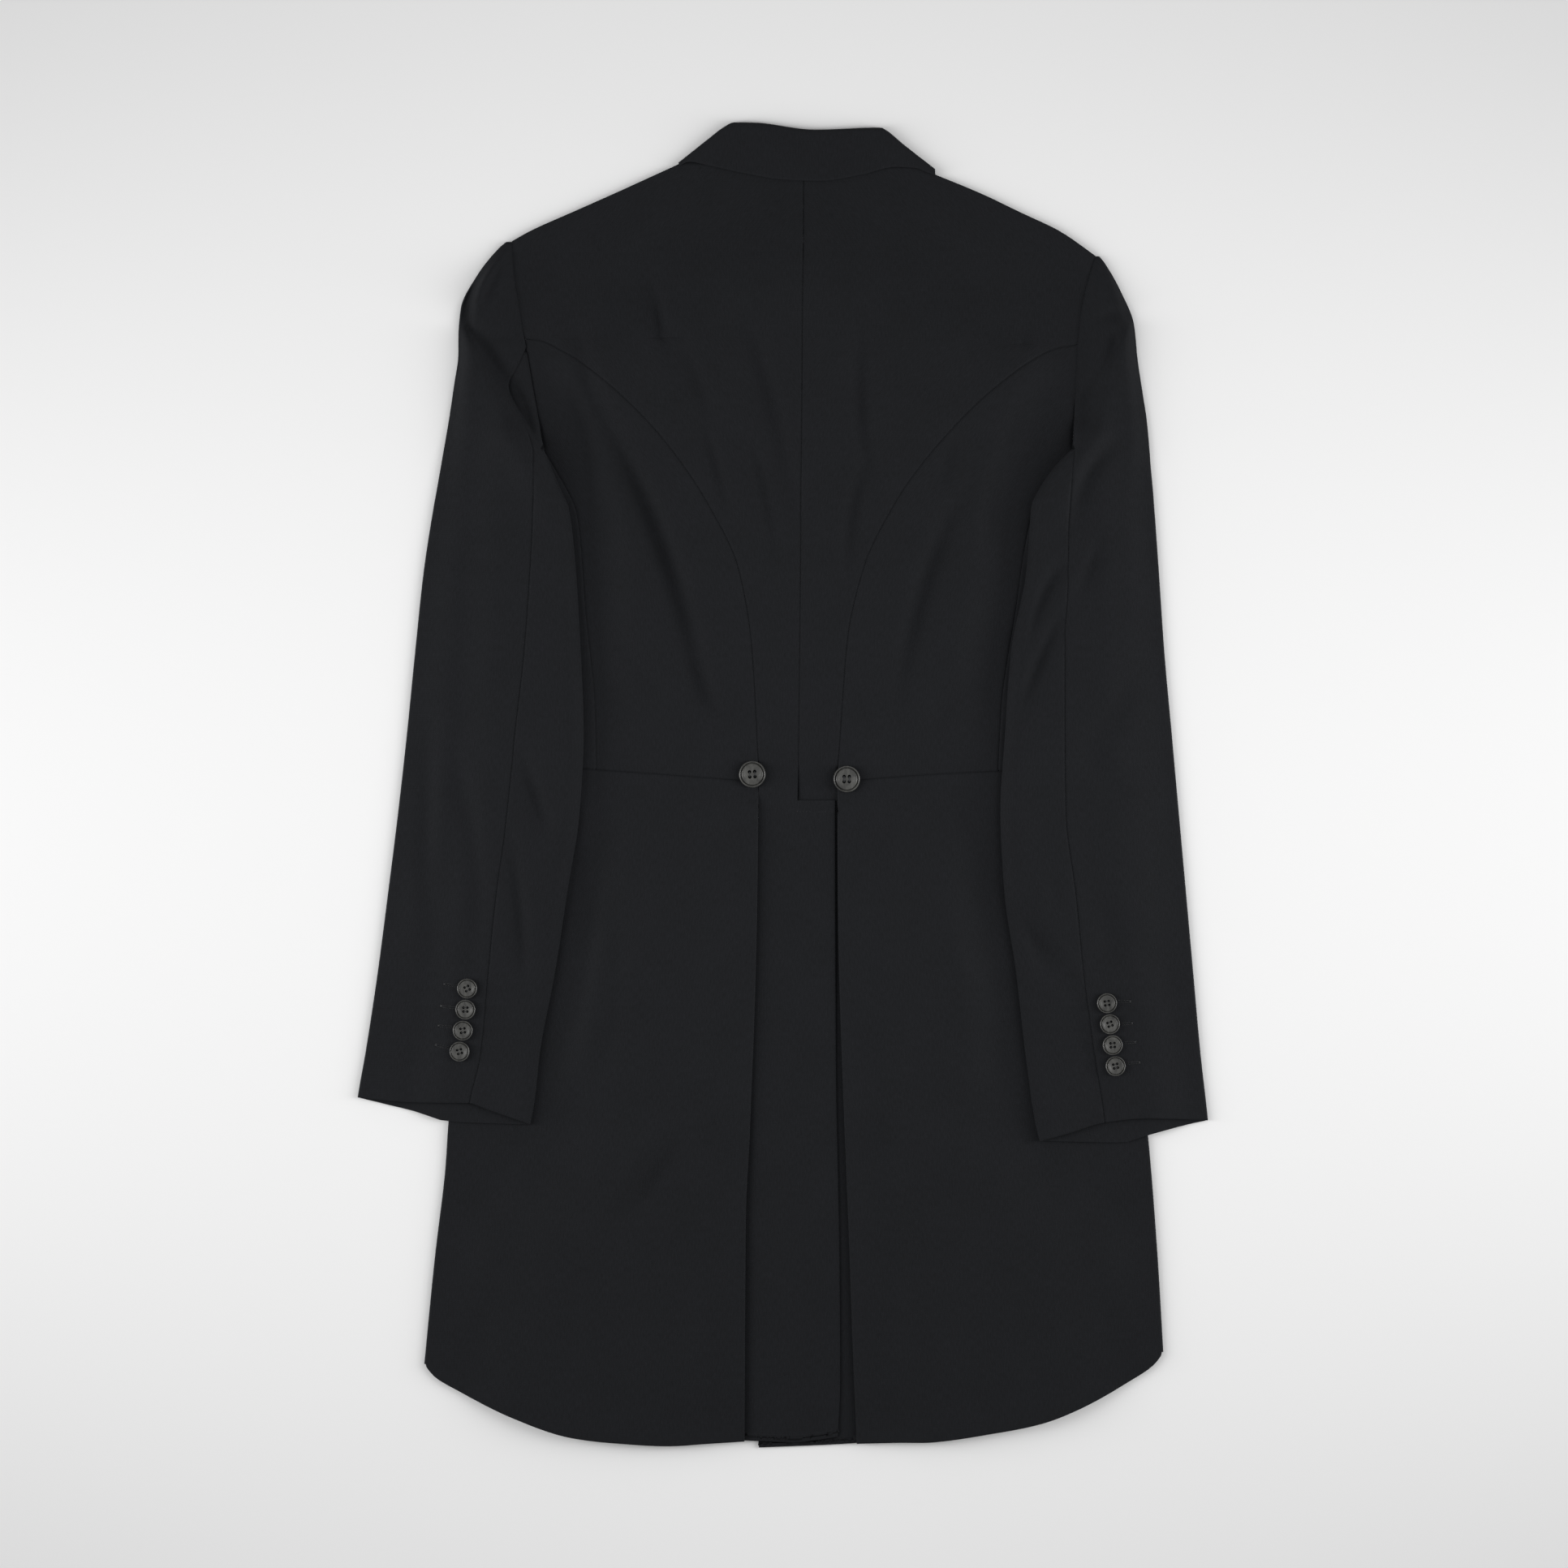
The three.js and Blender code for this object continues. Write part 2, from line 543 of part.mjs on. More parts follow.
// Back and tail: the panel between its outline and the centre seam, the tail's hidden edge under
// the skirt, and the stretch that laps over or under the other tail.
const BACK_COLUMNS = 7;
const UNDERLAP_TOP_Y = -17;
const PRINCESS_STEPS = [1.2, 5, 11, 20, 34, 52, 70];
const FLANK_ROWS = [UNDERARM_Y, ...steps(UNDERARM_Y, LAPEL_FOOT_Y, 9), LAPEL_FOOT_Y - 6];
const WAIST_ROW = 15;
const headRows = bothSides((side) => [
  ...steps(SHOULDER_Y[side], PRINCESS_TOP_Y[side], 4),
  ...PRINCESS_STEPS.map((drop) => PRINCESS_TOP_Y[side] - drop),
]);

function backPanel(side) {
  const out = outward[side];
  const isLeft = side === "left";
  const lapTop = isLeft ? VENT_TOP_Y : UNDERLAP_TOP_Y;
  const lastRow = -486;
  const rows = [
    NECK_Y, ...steps(NECK_Y, SHOULDER_Y[side], 4), ...headRows[side], ...FLANK_ROWS,
    12, -2, VENT_TOP_Y, UNDERLAP_TOP_Y, PLEAT_TOP_Y, ...steps(PLEAT_TOP_Y, lastRow, 9),
  ];
  const seamGap = SEAM_GAP / 2;
  const edgeAt = (y) => {
    if (y > SHOULDER_Y[side]) return shoulder[side](y);
    if (y > PRINCESS_TOP_Y[side]) return movedLine(armhole[side], -out * seamGap)(y);
    if (y > 4) return movedLine(princess[side], -out * seamGap)(y);
    return pleat[side](y) - out * (y > PLEAT_TOP_Y ? seamGap : 2);
  };
  const lapAt = (y) => (isLeft ? ventEdge(y) : TAIL_HEM.right[0].x);
  const columns = [
    ...shares("hidden", 1), ...shares("panel", BACK_COLUMNS, 1), ...shares("lap", 2, 1),
  ];
  const underside = tailUnderside[side];
  const knots = rows.map((row) =>
    columns.map(({ part, t }) => {
      const drop = smooth(0, 1, THREE.MathUtils.clamp((row - 10) / (lastRow - 10), 0, 1));
      const x =
        part === "hidden"
          ? mix(edgeAt(row) + out * PLEAT_DEPTH, edgeAt(row), t)
          : part === "panel"
            ? mix(edgeAt(row), centre(row) + out * seamGap, t)
            : mix(centre(row) + out * seamGap, lapAt(row), t);
      const y = row + (tailHem[side](x) - lastRow) * drop;
      return knot(x, y, underside(x, y) + WALL, DOWN);
    }),
  );
  const active = (j, i) => {
    if (columns[i + 1].part === "hidden") return rows[j] <= PLEAT_TOP_Y;
    if (columns[i + 1].part === "lap") return rows[j] <= lapTop;
    return true;
  };
  return meshOf(`back_${side}`, wallOver(knots, active), CLOTH);
}

// Side body: from the princess seam to the armhole and the side seam, down to the waist.
function sideBody(side) {
  const out = outward[side];
  const rows = [
    ...PRINCESS_STEPS.map((drop) => PRINCESS_TOP_Y[side] - drop), ...FLANK_ROWS, WAIST_ROW,
  ];
  const panelBack = movedLine(princess[side], (out * SEAM_GAP) / 2);
  const outerSeam = (y) => (y > UNDERARM_Y ? armhole[side](y) : sideSeam[side](y));
  const columns = shares("panel", 5);
  const knots = rows.map((row, j) =>
    columns.map(({ t }) => {
      const xAt = (y) => mix(panelBack(y), outerSeam(y) - (out * SEAM_GAP) / 2, t);
      const isFoot = j === rows.length - 1;
      const { x, y } = isFoot
        ? settle(1, waist[side], (at) => waist[side](at) + SEAM_GAP / 2, xAt)
        : { x: xAt(row), y: row };
      return knot(x, y, backUnderside(x, y) + WALL, DOWN);
    }),
  );
  return meshOf(`side_body_${side}`, wallOver(knots, () => true), CLOTH);
}

// Rows shared by a forepart and its lapel, under the chest
const LAPEL_PEAK_Y = 405;
const chestRows = (side) => [
  NECK_Y, ...steps(NECK_Y, SHOULDER_Y[side], 2), LAPEL_PEAK_Y - (side === "left" ? 0 : 12),
  ...steps(LAPEL_PEAK_Y - 20, UNDERARM_Y + 8, 3), ...FLANK_ROWS.slice(0, -1),
];

// Forepart: a strip beside the side seam, round the side fold, and under the coat to the lapel.
function forepart(side) {
  const out = outward[side];
  const shoulderPoint = SHOULDER_Y[side];
  const rows = [...chestRows(side), LAPEL_FOOT_Y - 6, WAIST_ROW];
  const columns = [...shares("strip", 2), ...shares("fold", 3, 1), ...shares("under", 5, 1)];
  const frontAt = (y) => {
    const reach = y < LAPEL_FOOT_Y - 2 ? SEAM_GAP : lapelEdge(y) + SEAM_GAP;
    return centre(y) + out * reach;
  };
  const isTop = (y) => y > UNDERARM_Y + 2;
  const outline = (y) => (y > shoulderPoint ? shoulder[side](y) : armhole[side](y) - out * 1.5);
  const radius = PAIR / 2;
  const edge = (y) => (isTop(y) ? outline(y) : sideFold[side](y) - out * radius);
  const knots = rows.map((row) =>
    columns.map(({ part, t }) => {
      const seam = (y) => sideSeam[side](y) + (out * SEAM_GAP) / 2;
      const xAt = {
        strip: (y) => mix(seam(y), edge(y), t),
        fold: edge,
        under: (y) => mix(edge(y), frontAt(y), t),
      }[part];
      const foot = (x) => waist[side](x) + SEAM_GAP / 2;
      const { x, y } = row === WAIST_ROW ? settle(1, foot, foot, xAt) : { x: xAt(row), y: row };
      if (part === "fold" && t < 1) return foldKnot(edge(y) + out * radius, out, y, 0, PAIR, t);
      if (part === "strip") return knot(x, y, backUnderside(x, y) + WALL, DOWN);
      return knot(x, y, 0, UP);
    }),
  );
  const active = (j, i) => columns[i + 1].part === "under" || !isTop(rows[j]);
  return meshOf(`forepart_${side}`, wallOver(knots, active), CLOTH);
}

// Lapel: between its edge and the roll line, flat under the coat.
function lapel(side) {
  const out = outward[side];
  const knots = chestRows(side).map((y) =>
    shares("panel", 2).map(({ t }) =>
      knot(centre(y) + out * mix(lapelEdge(y), rollLine(y), t), y, 0, UP),
    ),
  );
  return meshOf(`lapel_${side}`, wallOver(knots, () => true), CLOTH);
}

// Skirt: the pleat's hidden return, its fold, the top, the side fold and the cutaway front.
function skirt(side) {
  const out = outward[side];
  const columns = [
    ...shares("return", 1), ...shares("pleat", 3, 1),
    ...shares("top", 8, 1).map(({ part, t }) => ({ part, t: 1 - (1 - t) ** 1.4 })),
    ...shares("fold", 3, 1), ...shares("under", 4, 1),
  ];
  const down = [0, 0.025, 0.055, ...steps(0.055, 1, 11)];
  const radius = PAIR / 2;
  const pleatRadius = FOLDED_PLEAT / 2;
  const startAt = (x) => waist[side](x) - SEAM_GAP / 2;
  const pleatEdge = (y) => pleat[side](y) + (y > PLEAT_TOP_Y + 4 ? out * SEAM_GAP : 0);
  const pleatTop = (y) => skirtUnderside(side, pleat[side](y) + out * pleatRadius, y) + WALL;
  const knots = down.map((t) =>
    columns.map(({ part, t: across }) => {
      if (part === "return") {
        const xAt = (y) => pleat[side](y) + out * mix(PLEAT_DEPTH, pleatRadius, across);
        const { x, y } = settle(t, startAt, hem[side], xAt);
        const bottom = skirtUnderside(side, x, y) + WALL - FOLDED_PLEAT;
        return knot(x, y, bottom, UP);
      }
      if (part === "pleat" && across < 1) {
        const { y } = settle(t, startAt, hem[side], pleatEdge);
        const top = pleatTop(y);
        return foldKnot(pleatEdge(y), -out, y, top - FOLDED_PLEAT, top, 1 - across);
      }
      if (part === "top" || part === "pleat") {
        const share = part === "pleat" ? 0 : across;
        const rear = (y) => pleatEdge(y) + out * (y > PLEAT_TOP_Y + 4 ? 0.1 : pleatRadius);
        const xAt = (y) => mix(rear(y), sideFold[side](y) - out * radius, share);
        const { x, y } = settle(t, startAt, hem[side], xAt);
        return knot(x, y, skirtUnderside(side, x, y) + WALL, DOWN);
      }
      const foot = () => FRONT_CORNER_Y[side];
      if (part === "fold" && across < 1) {
        const { y } = settle(t, startAt, foot, sideFold[side]);
        return foldKnot(sideFold[side](y), out, y, 0, PAIR, across);
      }
      const share = part === "fold" ? 0 : across;
      const frontAt = (y) => centre(Math.max(y, -60)) + out * Math.max(cutaway(y), SEAM_GAP);
      const xAt = (y) => mix(sideFold[side](y) - out * radius, frontAt(y), share);
      const { x, y } = settle(t, startAt, foot, xAt);
      return knot(x, y, 0, UP);
    }),
  );
  const isHidden = (part) => part === "return" || part === "pleat";
  const active = (j, i) => !isHidden(columns[i + 1].part) || knots[j][i].place.y <= PLEAT_TOP_Y + 3;
  return meshOf(`skirt_${side}`, wallOver(knots, active), CLOTH);
}

// Top sleeve: from the armhole and hindarm seam, round the outer fold, to the forearm seam below.
function topSleeve(side) {
  const out = outward[side];
  const { outer, seam, inner } = sleeve[side];
  const rows = sleeveRows(side, SLEEVE_HEAD[side][0].y);
  const columns = [...shares("top", 5), ...shares("fold", 3, 1), ...shares("under", 3, 1)];
  const bottomAt = (y) => sleeveBed(side, outer(y), y);
  const radiusAt = (y) => (sleeveTop(side, outer(y), y) - bottomAt(y)) / 2;
  const underEnd = (y) =>
    y > UNDERARM_Y + 2 ? armhole[side](y) : mix(inner(y), outer(y), FOREARM_SEAM);
  const knots = rows.map((row) =>
    columns.map(({ part, t }) => {
      const isUnder = part === "under" || (part === "fold" && t > 0.5);
      const end = isUnder ? cuffUnder[side] : cuffTop[side];
      const edgeX = (y) => outer(y) - out * radiusAt(y);
      const seamGap = movedLine(seam, (out * SEAM_GAP) / 2);
      const xTop = (y) => mix(seamGap(y), edgeX(y), t);
      const stop = part === "under" ? Math.round(t * 3) : 0;
      const forearm = (y) => underEnd(y) + (out * SEAM_GAP) / 2;
      const xUnder = (y) => undersideStops(side, y, edgeX(y), forearm(y))[stop];
      const xAt = part === "top" ? xTop : part === "under" || t === 1 ? xUnder : outer;
      const { x, y } = row.settled(end, xAt);
      if (part === "fold" && t < 1) {
        return foldKnot(outer(y), out, y, bottomAt(y), sleeveTop(side, outer(y), y), t);
      }
      return part === "top"
        ? knot(x, y, sleeveTop(side, x, y), DOWN)
        : knot(x, y, sleeveBed(side, x, y), UP);
    }),
  );
  return meshOf(`topsleeve_${side}`, wallOver(knots, () => true), CLOTH);
}

// Undersleeve: from the hindarm seam to the armhole or the inner fold, and round it below.
function underSleeve(side) {
  const out = outward[side];
  const { outer, seam, inner } = sleeve[side];
  const rows = sleeveRows(side, HINDARM_HEAD[side][0].y - 3);
  const columns = [...shares("top", 3), ...shares("fold", 3, 1), ...shares("under", 1, 1)];
  const radius = PAIR / 2;
  const isHead = (y) => y > UNDERARM_Y + 2;
  const knots = rows.map((row) =>
    columns.map(({ part, t }) => {
      const isUnder = part === "under" || (part === "fold" && t > 0.5);
      const end = isUnder ? cuffUnder[side] : cuffTop[side];
      const edgeX = (y) => inner(y) + out * (isHead(y) ? SEAM_GAP / 2 : radius);
      const underEnd = (y) => mix(inner(y), outer(y), FOREARM_SEAM) - (out * SEAM_GAP) / 2;
      const seamGap = movedLine(seam, (-out * SEAM_GAP) / 2);
      const xTop = (y) => mix(seamGap(y), edgeX(y), t);
      const xUnder = (y) => mix(edgeX(y), underEnd(y), part === "fold" ? 0 : t);
      const xAt = part === "top" ? xTop : part === "under" || t === 1 ? xUnder : inner;
      const { x, y } = row.settled(end, xAt);
      const bed = sleeveBed(side, inner(y), y);
      if (part === "fold" && t < 1) return foldKnot(inner(y), -out, y, bed, bed + PAIR, t);
      return part === "top"
        ? knot(x, y, sleeveTop(side, x, y), DOWN)
        : knot(x, y, sleeveBed(side, x, y), UP);
    }),
  );
  const active = (j, i) => columns[i + 1].part === "top" || rows[j].height <= UNDERARM_Y + 2;
  return meshOf(`undersleeve_${side}`, wallOver(knots, active), CLOTH);
}

// Rows down a sleeve: level ones to the elbow, and below it rows that lean over to the cuff's edge.
const ELBOW_Y = 58;
function sleeveRows(side, top) {
  const level = [
    top, ...headRows[side].filter((y) => y < top - 2), ...FLANK_ROWS.filter((y) => y >= ELBOW_Y),
  ].map((y) => ({ height: y, settled: (end, xAt) => ({ x: xAt(y), y }) }));
  const elbow = level.at(-1).height;
  const leaning = steps(0, 1, 10).map((t) => ({
    height: elbow - 300 * t,
    settled: (end, xAt) => settle(t, () => elbow, end, xAt),
  }));
  return [...level, ...leaning];
}

// Collar: the fall from its edge up to the crest, round it, and the stand down to the neck seam.
function collar() {
  const first = COLLAR_EDGE[0].x;
  const last = COLLAR_EDGE.at(-1).x;
  const places = [first, ...steps(first, last, 16)];
  const rows = [...shares("fall", 2), ...shares("fold", 3, 1), ...shares("stand", 1, 1)];
  const knots = rows.map(({ part, t }) =>
    places.map((x) => {
      const crest = Math.max(collarCrest(x), collarEdge(x) + 3);
      const depth = crest - collarEdge(x);
      const rise = COLLAR_RISE * smooth(4, 24, depth);
      const top = PAIR + LAYER + rise;
      const bottom = top - PAIR - rise;
      const radius = (top - bottom) / 2;
      const middle = crest - radius;
      if (part === "fall") {
        const y = mix(collarEdge(x), middle, t);
        return knot(x, y, mix(PAIR + LAYER, top, t), DOWN);
      }
      if (part === "fold" && t < 1) {
        const angle = Math.PI * (0.5 - t);
        const inward = new THREE.Vector3(0, -Math.cos(angle), -Math.sin(angle));
        return knot(x, middle - radius * inward.y, bottom + radius - radius * inward.z, inward);
      }
      const foot = Math.min(NECK_Y + SEAM_GAP, middle - 0.3);
      return knot(x, mix(middle, foot, part === "fold" ? 0 : t), bottom, UP);
    }),
  );
  return meshOf("collar", wallOver(knots, () => true), CLOTH);
}

// A closed mesh as a solid that can be cut, and back.
function solidOf(geometry) {
  const vertices = [];
  const faces = [];
  const numbers = new Map();
  const position = geometry.getAttribute("position");
  for (let i = 0; i < geometry.index.count; i++) {
    const point = new THREE.Vector3().fromBufferAttribute(position, geometry.index.getX(i));
    const key = point.toArray().map((value) => Math.round(value * 1e4)).join();
    if (!numbers.has(key)) {
      numbers.set(key, vertices.length / 3);
      vertices.push(point.x, point.y, point.z);
    }
    faces.push(numbers.get(key));
  }
  const triangles = [];
  for (let f = 0; f < faces.length; f += 3) {
    const [a, b, c] = faces.slice(f, f + 3);
    if (a !== b && b !== c && c !== a) triangles.push(a, b, c);
  }
  const mesh = new wasm.Mesh({
    numProp: 3,
    vertProperties: new Float32Array(vertices),
    triVerts: new Uint32Array(triangles),
  });
  return new wasm.Manifold(mesh);
}

function geometryOf(solid) {
  const { vertProperties, triVerts } = solid.getMesh();
  const geometry = new THREE.BufferGeometry();
  geometry.setAttribute("position", new THREE.BufferAttribute(vertProperties, 3));
  geometry.setIndex(new THREE.BufferAttribute(triVerts, 1));
  return geometry;
}

// A horn button, lying on its flat foot: a raised rim round a dished middle with four holes.
const RIM = { outer: 0.9, inner: 0.72 };
const DISH = { radius: 0.56, height: 0.66 };
const HOLE = { radius: 0.085, away: 0.19 };
function buttonGeometry({ diameter, thickness }) {
  const radius = diameter / 2;
  const profile = [
    [0, 0], [0.82, 0], [1, 0.6], [RIM.outer, 1], [RIM.inner, 1],
    [DISH.radius, DISH.height], [0, DISH.height - 0.08],
  ].map(([out, up]) => new THREE.Vector2(out * radius, up * thickness));
  const turned = new THREE.LatheGeometry(profile, 16).rotateX(Math.PI / 2);
  const bore = HOLE.radius * radius;
  const drill = new THREE.CylinderGeometry(bore, bore, thickness * 3, 6);
  drill.rotateX(Math.PI / 2);
  let body = solidOf(turned);
  for (const [x, y] of [[1, 1], [1, -1], [-1, 1], [-1, -1]]) {
    const away = HOLE.away * radius;
    body = body.subtract(solidOf(drill.clone().translate(x * away, y * away, 0)));
  }
  return geometryOf(body);
}

// A button's foot lies on the highest point of the cloth below it.
function highest(heightAt, { x, y }, radius) {
  let top = -Infinity;
  for (let turn = 0; turn < 16; turn++) {
    const angle = (turn * Math.PI) / 8;
    for (const share of [0, 0.5, 1]) {
      const reach = share * radius;
      top = Math.max(top, heightAt(x + reach * Math.cos(angle), y + reach * Math.sin(angle)));
    }
  }
  return top;
}

function button(kind, at, heightAt) {
  const mesh = meshOf(at.name, buttonGeometry(kind), HORN);
  const foot = highest(heightAt, at, kind.diameter * 0.4) + SEAM_GAP;
  mesh.position.set(at.x, at.y, foot);
  mesh.rotation.z = THREE.MathUtils.degToRad(at.turn);
  return mesh;
}

// The top of the cloth round the waist buttons: back, side body or skirt.
function waistTop(x, y) {
  const side = x < centre(y) ? "left" : "right";
  const isTail = (x - pleat[side](y)) * outward[side] < 0;
  if (isTail) return tailUnderside[side](x, y) + WALL;
  return (y > waist[side](x) ? backUnderside(x, y) : skirtUnderside(side, x, y)) + WALL;
}

const coat = new THREE.Group();
for (const side of sides) {
  coat.add(backPanel(side), sideBody(side), forepart(side), lapel(side), skirt(side));
  coat.add(topSleeve(side), underSleeve(side));
}
coat.add(collar());
for (const at of WAIST_BUTTONS) coat.add(button(WAIST_BUTTON, at, waistTop));
for (const at of CUFF_BUTTONS) {
  const side = at.x < 0 ? "left" : "right";
  coat.add(button(CUFF_BUTTON, at, (x, y) => sleeveTop(side, x, y)));
}

export default coat;
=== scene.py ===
# %% [markdown]
# # A morning coat laid flat on its front
#
# The coat is a black worsted cutaway tailcoat. It lies face down, so its back, both sleeves, the
# turned-down collar, the tails with their pleats and vent, and ten horn buttons show from above.
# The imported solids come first: they fix where every piece goes. Each cloth piece is then made
# again as a finer sheet in the same place, and the plain solid behind it is hidden.

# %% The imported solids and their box
import math

import bmesh
import bpy
import numpy as np
from mathutils import Matrix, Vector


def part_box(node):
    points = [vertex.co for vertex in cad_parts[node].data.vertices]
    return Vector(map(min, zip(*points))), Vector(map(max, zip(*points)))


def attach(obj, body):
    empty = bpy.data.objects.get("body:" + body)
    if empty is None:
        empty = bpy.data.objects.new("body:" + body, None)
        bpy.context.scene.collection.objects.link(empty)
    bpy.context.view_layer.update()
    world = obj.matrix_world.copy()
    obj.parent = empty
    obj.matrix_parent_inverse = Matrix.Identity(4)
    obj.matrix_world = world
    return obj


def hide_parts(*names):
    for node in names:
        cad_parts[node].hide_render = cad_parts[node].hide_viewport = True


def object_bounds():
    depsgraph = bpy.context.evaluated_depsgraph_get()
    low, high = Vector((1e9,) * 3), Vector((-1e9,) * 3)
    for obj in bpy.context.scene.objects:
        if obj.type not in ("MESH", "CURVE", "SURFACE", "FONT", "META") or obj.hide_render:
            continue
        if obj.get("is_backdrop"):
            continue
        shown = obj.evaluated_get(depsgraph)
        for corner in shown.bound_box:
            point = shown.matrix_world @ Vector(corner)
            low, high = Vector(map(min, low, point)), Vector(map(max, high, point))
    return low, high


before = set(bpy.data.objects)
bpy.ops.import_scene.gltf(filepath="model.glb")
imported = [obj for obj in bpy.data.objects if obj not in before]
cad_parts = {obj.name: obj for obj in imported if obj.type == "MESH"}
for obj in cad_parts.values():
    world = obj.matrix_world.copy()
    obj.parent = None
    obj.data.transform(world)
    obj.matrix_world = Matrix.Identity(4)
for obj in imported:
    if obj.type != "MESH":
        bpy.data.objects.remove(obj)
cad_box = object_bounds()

print("solids", len(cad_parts), "box", [[round(v, 4) for v in corner] for corner in cad_box])

# %% [markdown]
# ## Sizes
#
# A tailor works in millimetres, so the whole pattern does too, and each place is turned to metres
# only when it becomes a vertex. Left and right are as seen from above, and +Y is towards the
# collar. The layers lie on each other: the fronts on the floor, the back on the fronts, and the
# sleeves on the back. WALL is one cloth with its lining, LAYER adds the gap above it, and PAIR is
# the height of two cloths with the air between them. A loft is how far a layer puffs up.

# %% Thicknesses and heights
MM = 0.001
WALL = 1.4
CLEARANCE = 0.4
LAYER = WALL + CLEARANCE
PAIR = 3.8
FOLDED_PLEAT = WALL + LAYER
BACK_BED = PAIR - WALL
SLEEVE_BED = PAIR + CLEARANCE
BODY_LOFT = 9
SLEEVE_LOFT = 5.4
TAIL_REST = 0.9
PRESSED_LOFT = {"waist": 3.2, "cuff": 1.3, "button": 1.5}
LOWEST_DIP = -0.85

NECK_Y = 463
BACK_TOP_Y = {"left": 468, "right": 465.5}
SHOULDER_Y = {"left": 408.4, "right": 397.4}
PRINCESS_TOP_Y = {"left": 335.2, "right": 330.9}
UNDERARM_Y = 250
SLEEVE_JOIN_Y = UNDERARM_Y + 2
LAPEL_FOOT_Y = 34
PLEAT_SEAM_Y = 4
VENT_TOP_Y = -11.3
UNDERLAP_TOP_Y = -17
PLEAT_TOP_Y = -25
TAIL_FOOT_Y = -486
FRONT_CORNER_Y = {"left": -434.6, "right": -425.5}

CUFF_Y = -256
PLEAT_DEPTH = 25
SEAM_GAP = 0.3
SIDES = ("left", "right")
OUT = {"left": -1, "right": 1}


def table(columns, rows):
    """Rows of numbers under named columns."""
    return {name: np.array(values, float) for name, values in zip(columns.split(), zip(*rows))}


# %% [markdown]
# ## The pattern's lines
#
# A seam or an edge is a short table of places that a smooth line runs through, as a tailor joins
# chalk marks. The line is a monotone cubic: it passes through every mark and never swings past
# one, which a plain spline would do beside a sharp turn.

# %% Seams of the body
CENTRE_SEAM = table("y x", [(466, 15.2), (224, 13.4), (41, 11.6), (-12, 10.7)])
SHOULDER = {
    "left": table("y x", [(463, -85.4), (443, -129.3), (430, -158.6), (417, -187.9),
                          (408.4, -203.7)]),
    "right": table("y x", [(463, 102.5), (444, 148.8), (430, 178.1), (416, 207.4),
                           (397.4, 234.4)]),
}
ARMHOLE = {
    "left": table("y x", [(408.4, -203.7), (383, -201.9), (360, -198.2), (335.2, -194.2),
                          (302, -188.5), (278, -184.2), (257, -180.6), (250, -178.7)]),
    "right": table("y x", [(397.4, 234.4), (372, 226.9), (354, 223.3), (330.9, 221),
                           (305, 219.6), (277, 218.4), (257, 217.4), (250, 217)]),
}
PRINCESS = {
    "left": table("y x", [(335.2, -193.8), (334, -182.4), (326.7, -167.1), (317, -151.3),
                          (301.6, -131.8), (261, -91.5), (211, -56.7), (161, -33.2),
                          (106, -23.8), (46, -20.1), (4, -18.3)]),
    "right": table("y x", [(330.9, 220.6), (328, 205), (318, 185.4), (303.5, 165.9),
                           (287, 146.4), (250, 111.6), (213, 84.8), (164, 60.7),
                           (110, 48.2), (56, 43.9), (4, 40.6)]),
}
SIDE_SEAM = {
    "left": table("y x", [(250, -178.4), (200, -154.3), (127, -148.2), (60, -141.5),
                          (4, -140.3)]),
    "right": table("y x", [(250, 216.7), (200, 186), (127, 174), (60, 164), (4, 161)]),
}
SIDE_FOLD = {
    "left": table("y x", [(250, -207), (23, -213.5), (-252, -251.3), (-288, -253.8),
                          (-355, -261.7), (-434.6, -269.6)]),
    "right": table("y x", [(250, 232), (23, 238), (-263, 274), (-355, 281.3), (-425.5, 285.5)]),
}
LAPEL_EDGE = table("y reach", [(466, 82), (440, 100), (405, 124), (300, 98), (34, 14)])
ROLL_LINE = table("y reach", [(466, 62), (34, 4)])
CUTAWAY = table("y reach", [(20, 1), (0, 8), (-30, 38), (-60, 70), (-100, 106), (-150, 142),
                            (-250, 194), (-350, 236), (-434.6, 268)])

# %% Seams and edges of the tails and skirts
PLEAT = {
    "left": table("y x", [(4, -18.3), (-111, -19.8), (-261, -25), (-324, -27.9), (-492, -29)]),
    "right": table("y x", [(4, 40.6), (-50, 40.7), (-120, 41.4), (-203, 43.9),
                           (-339, 49.2), (-425, 52.2), (-494, 55.1)]),
}
VENT_EDGE = table("y x", [(-11, 38.9), (-203, 39.5), (-349, 42.1), (-444, 42.7), (-488, 40.9)])
HEM = {
    "left": table("x y", [(-269.6, -434.6), (-262, -443.8), (-246, -453.5), (-202.5, -474.3),
                          (-158.6, -488.9), (-129.3, -492.6), (-85.4, -495), (-24.4, -492)]),
    "right": table("x y", [(54.9, -494.1), (105, -492.6), (163.5, -484.6), (192.8, -478.5),
                           (222, -467.6), (261, -446.8), (278.8, -434.6), (285.5, -425.5)]),
}
TAIL_HEM = {
    "left": table("x y", [(-54, -491.5), (-13, -492.5), (8, -493.3), (25, -491.6), (43, -488.6)]),
    "right": table("x y", [(-18.3, -497.5), (55, -494.1), (81, -490)]),
}
WAIST = {
    "left": table("x y", [(-214, 16.8), (-100, 8.8), (-18, 2.7)]),
    "right": table("x y", [(40, 2.7), (113, 8.2), (238, 13.7)]),
}

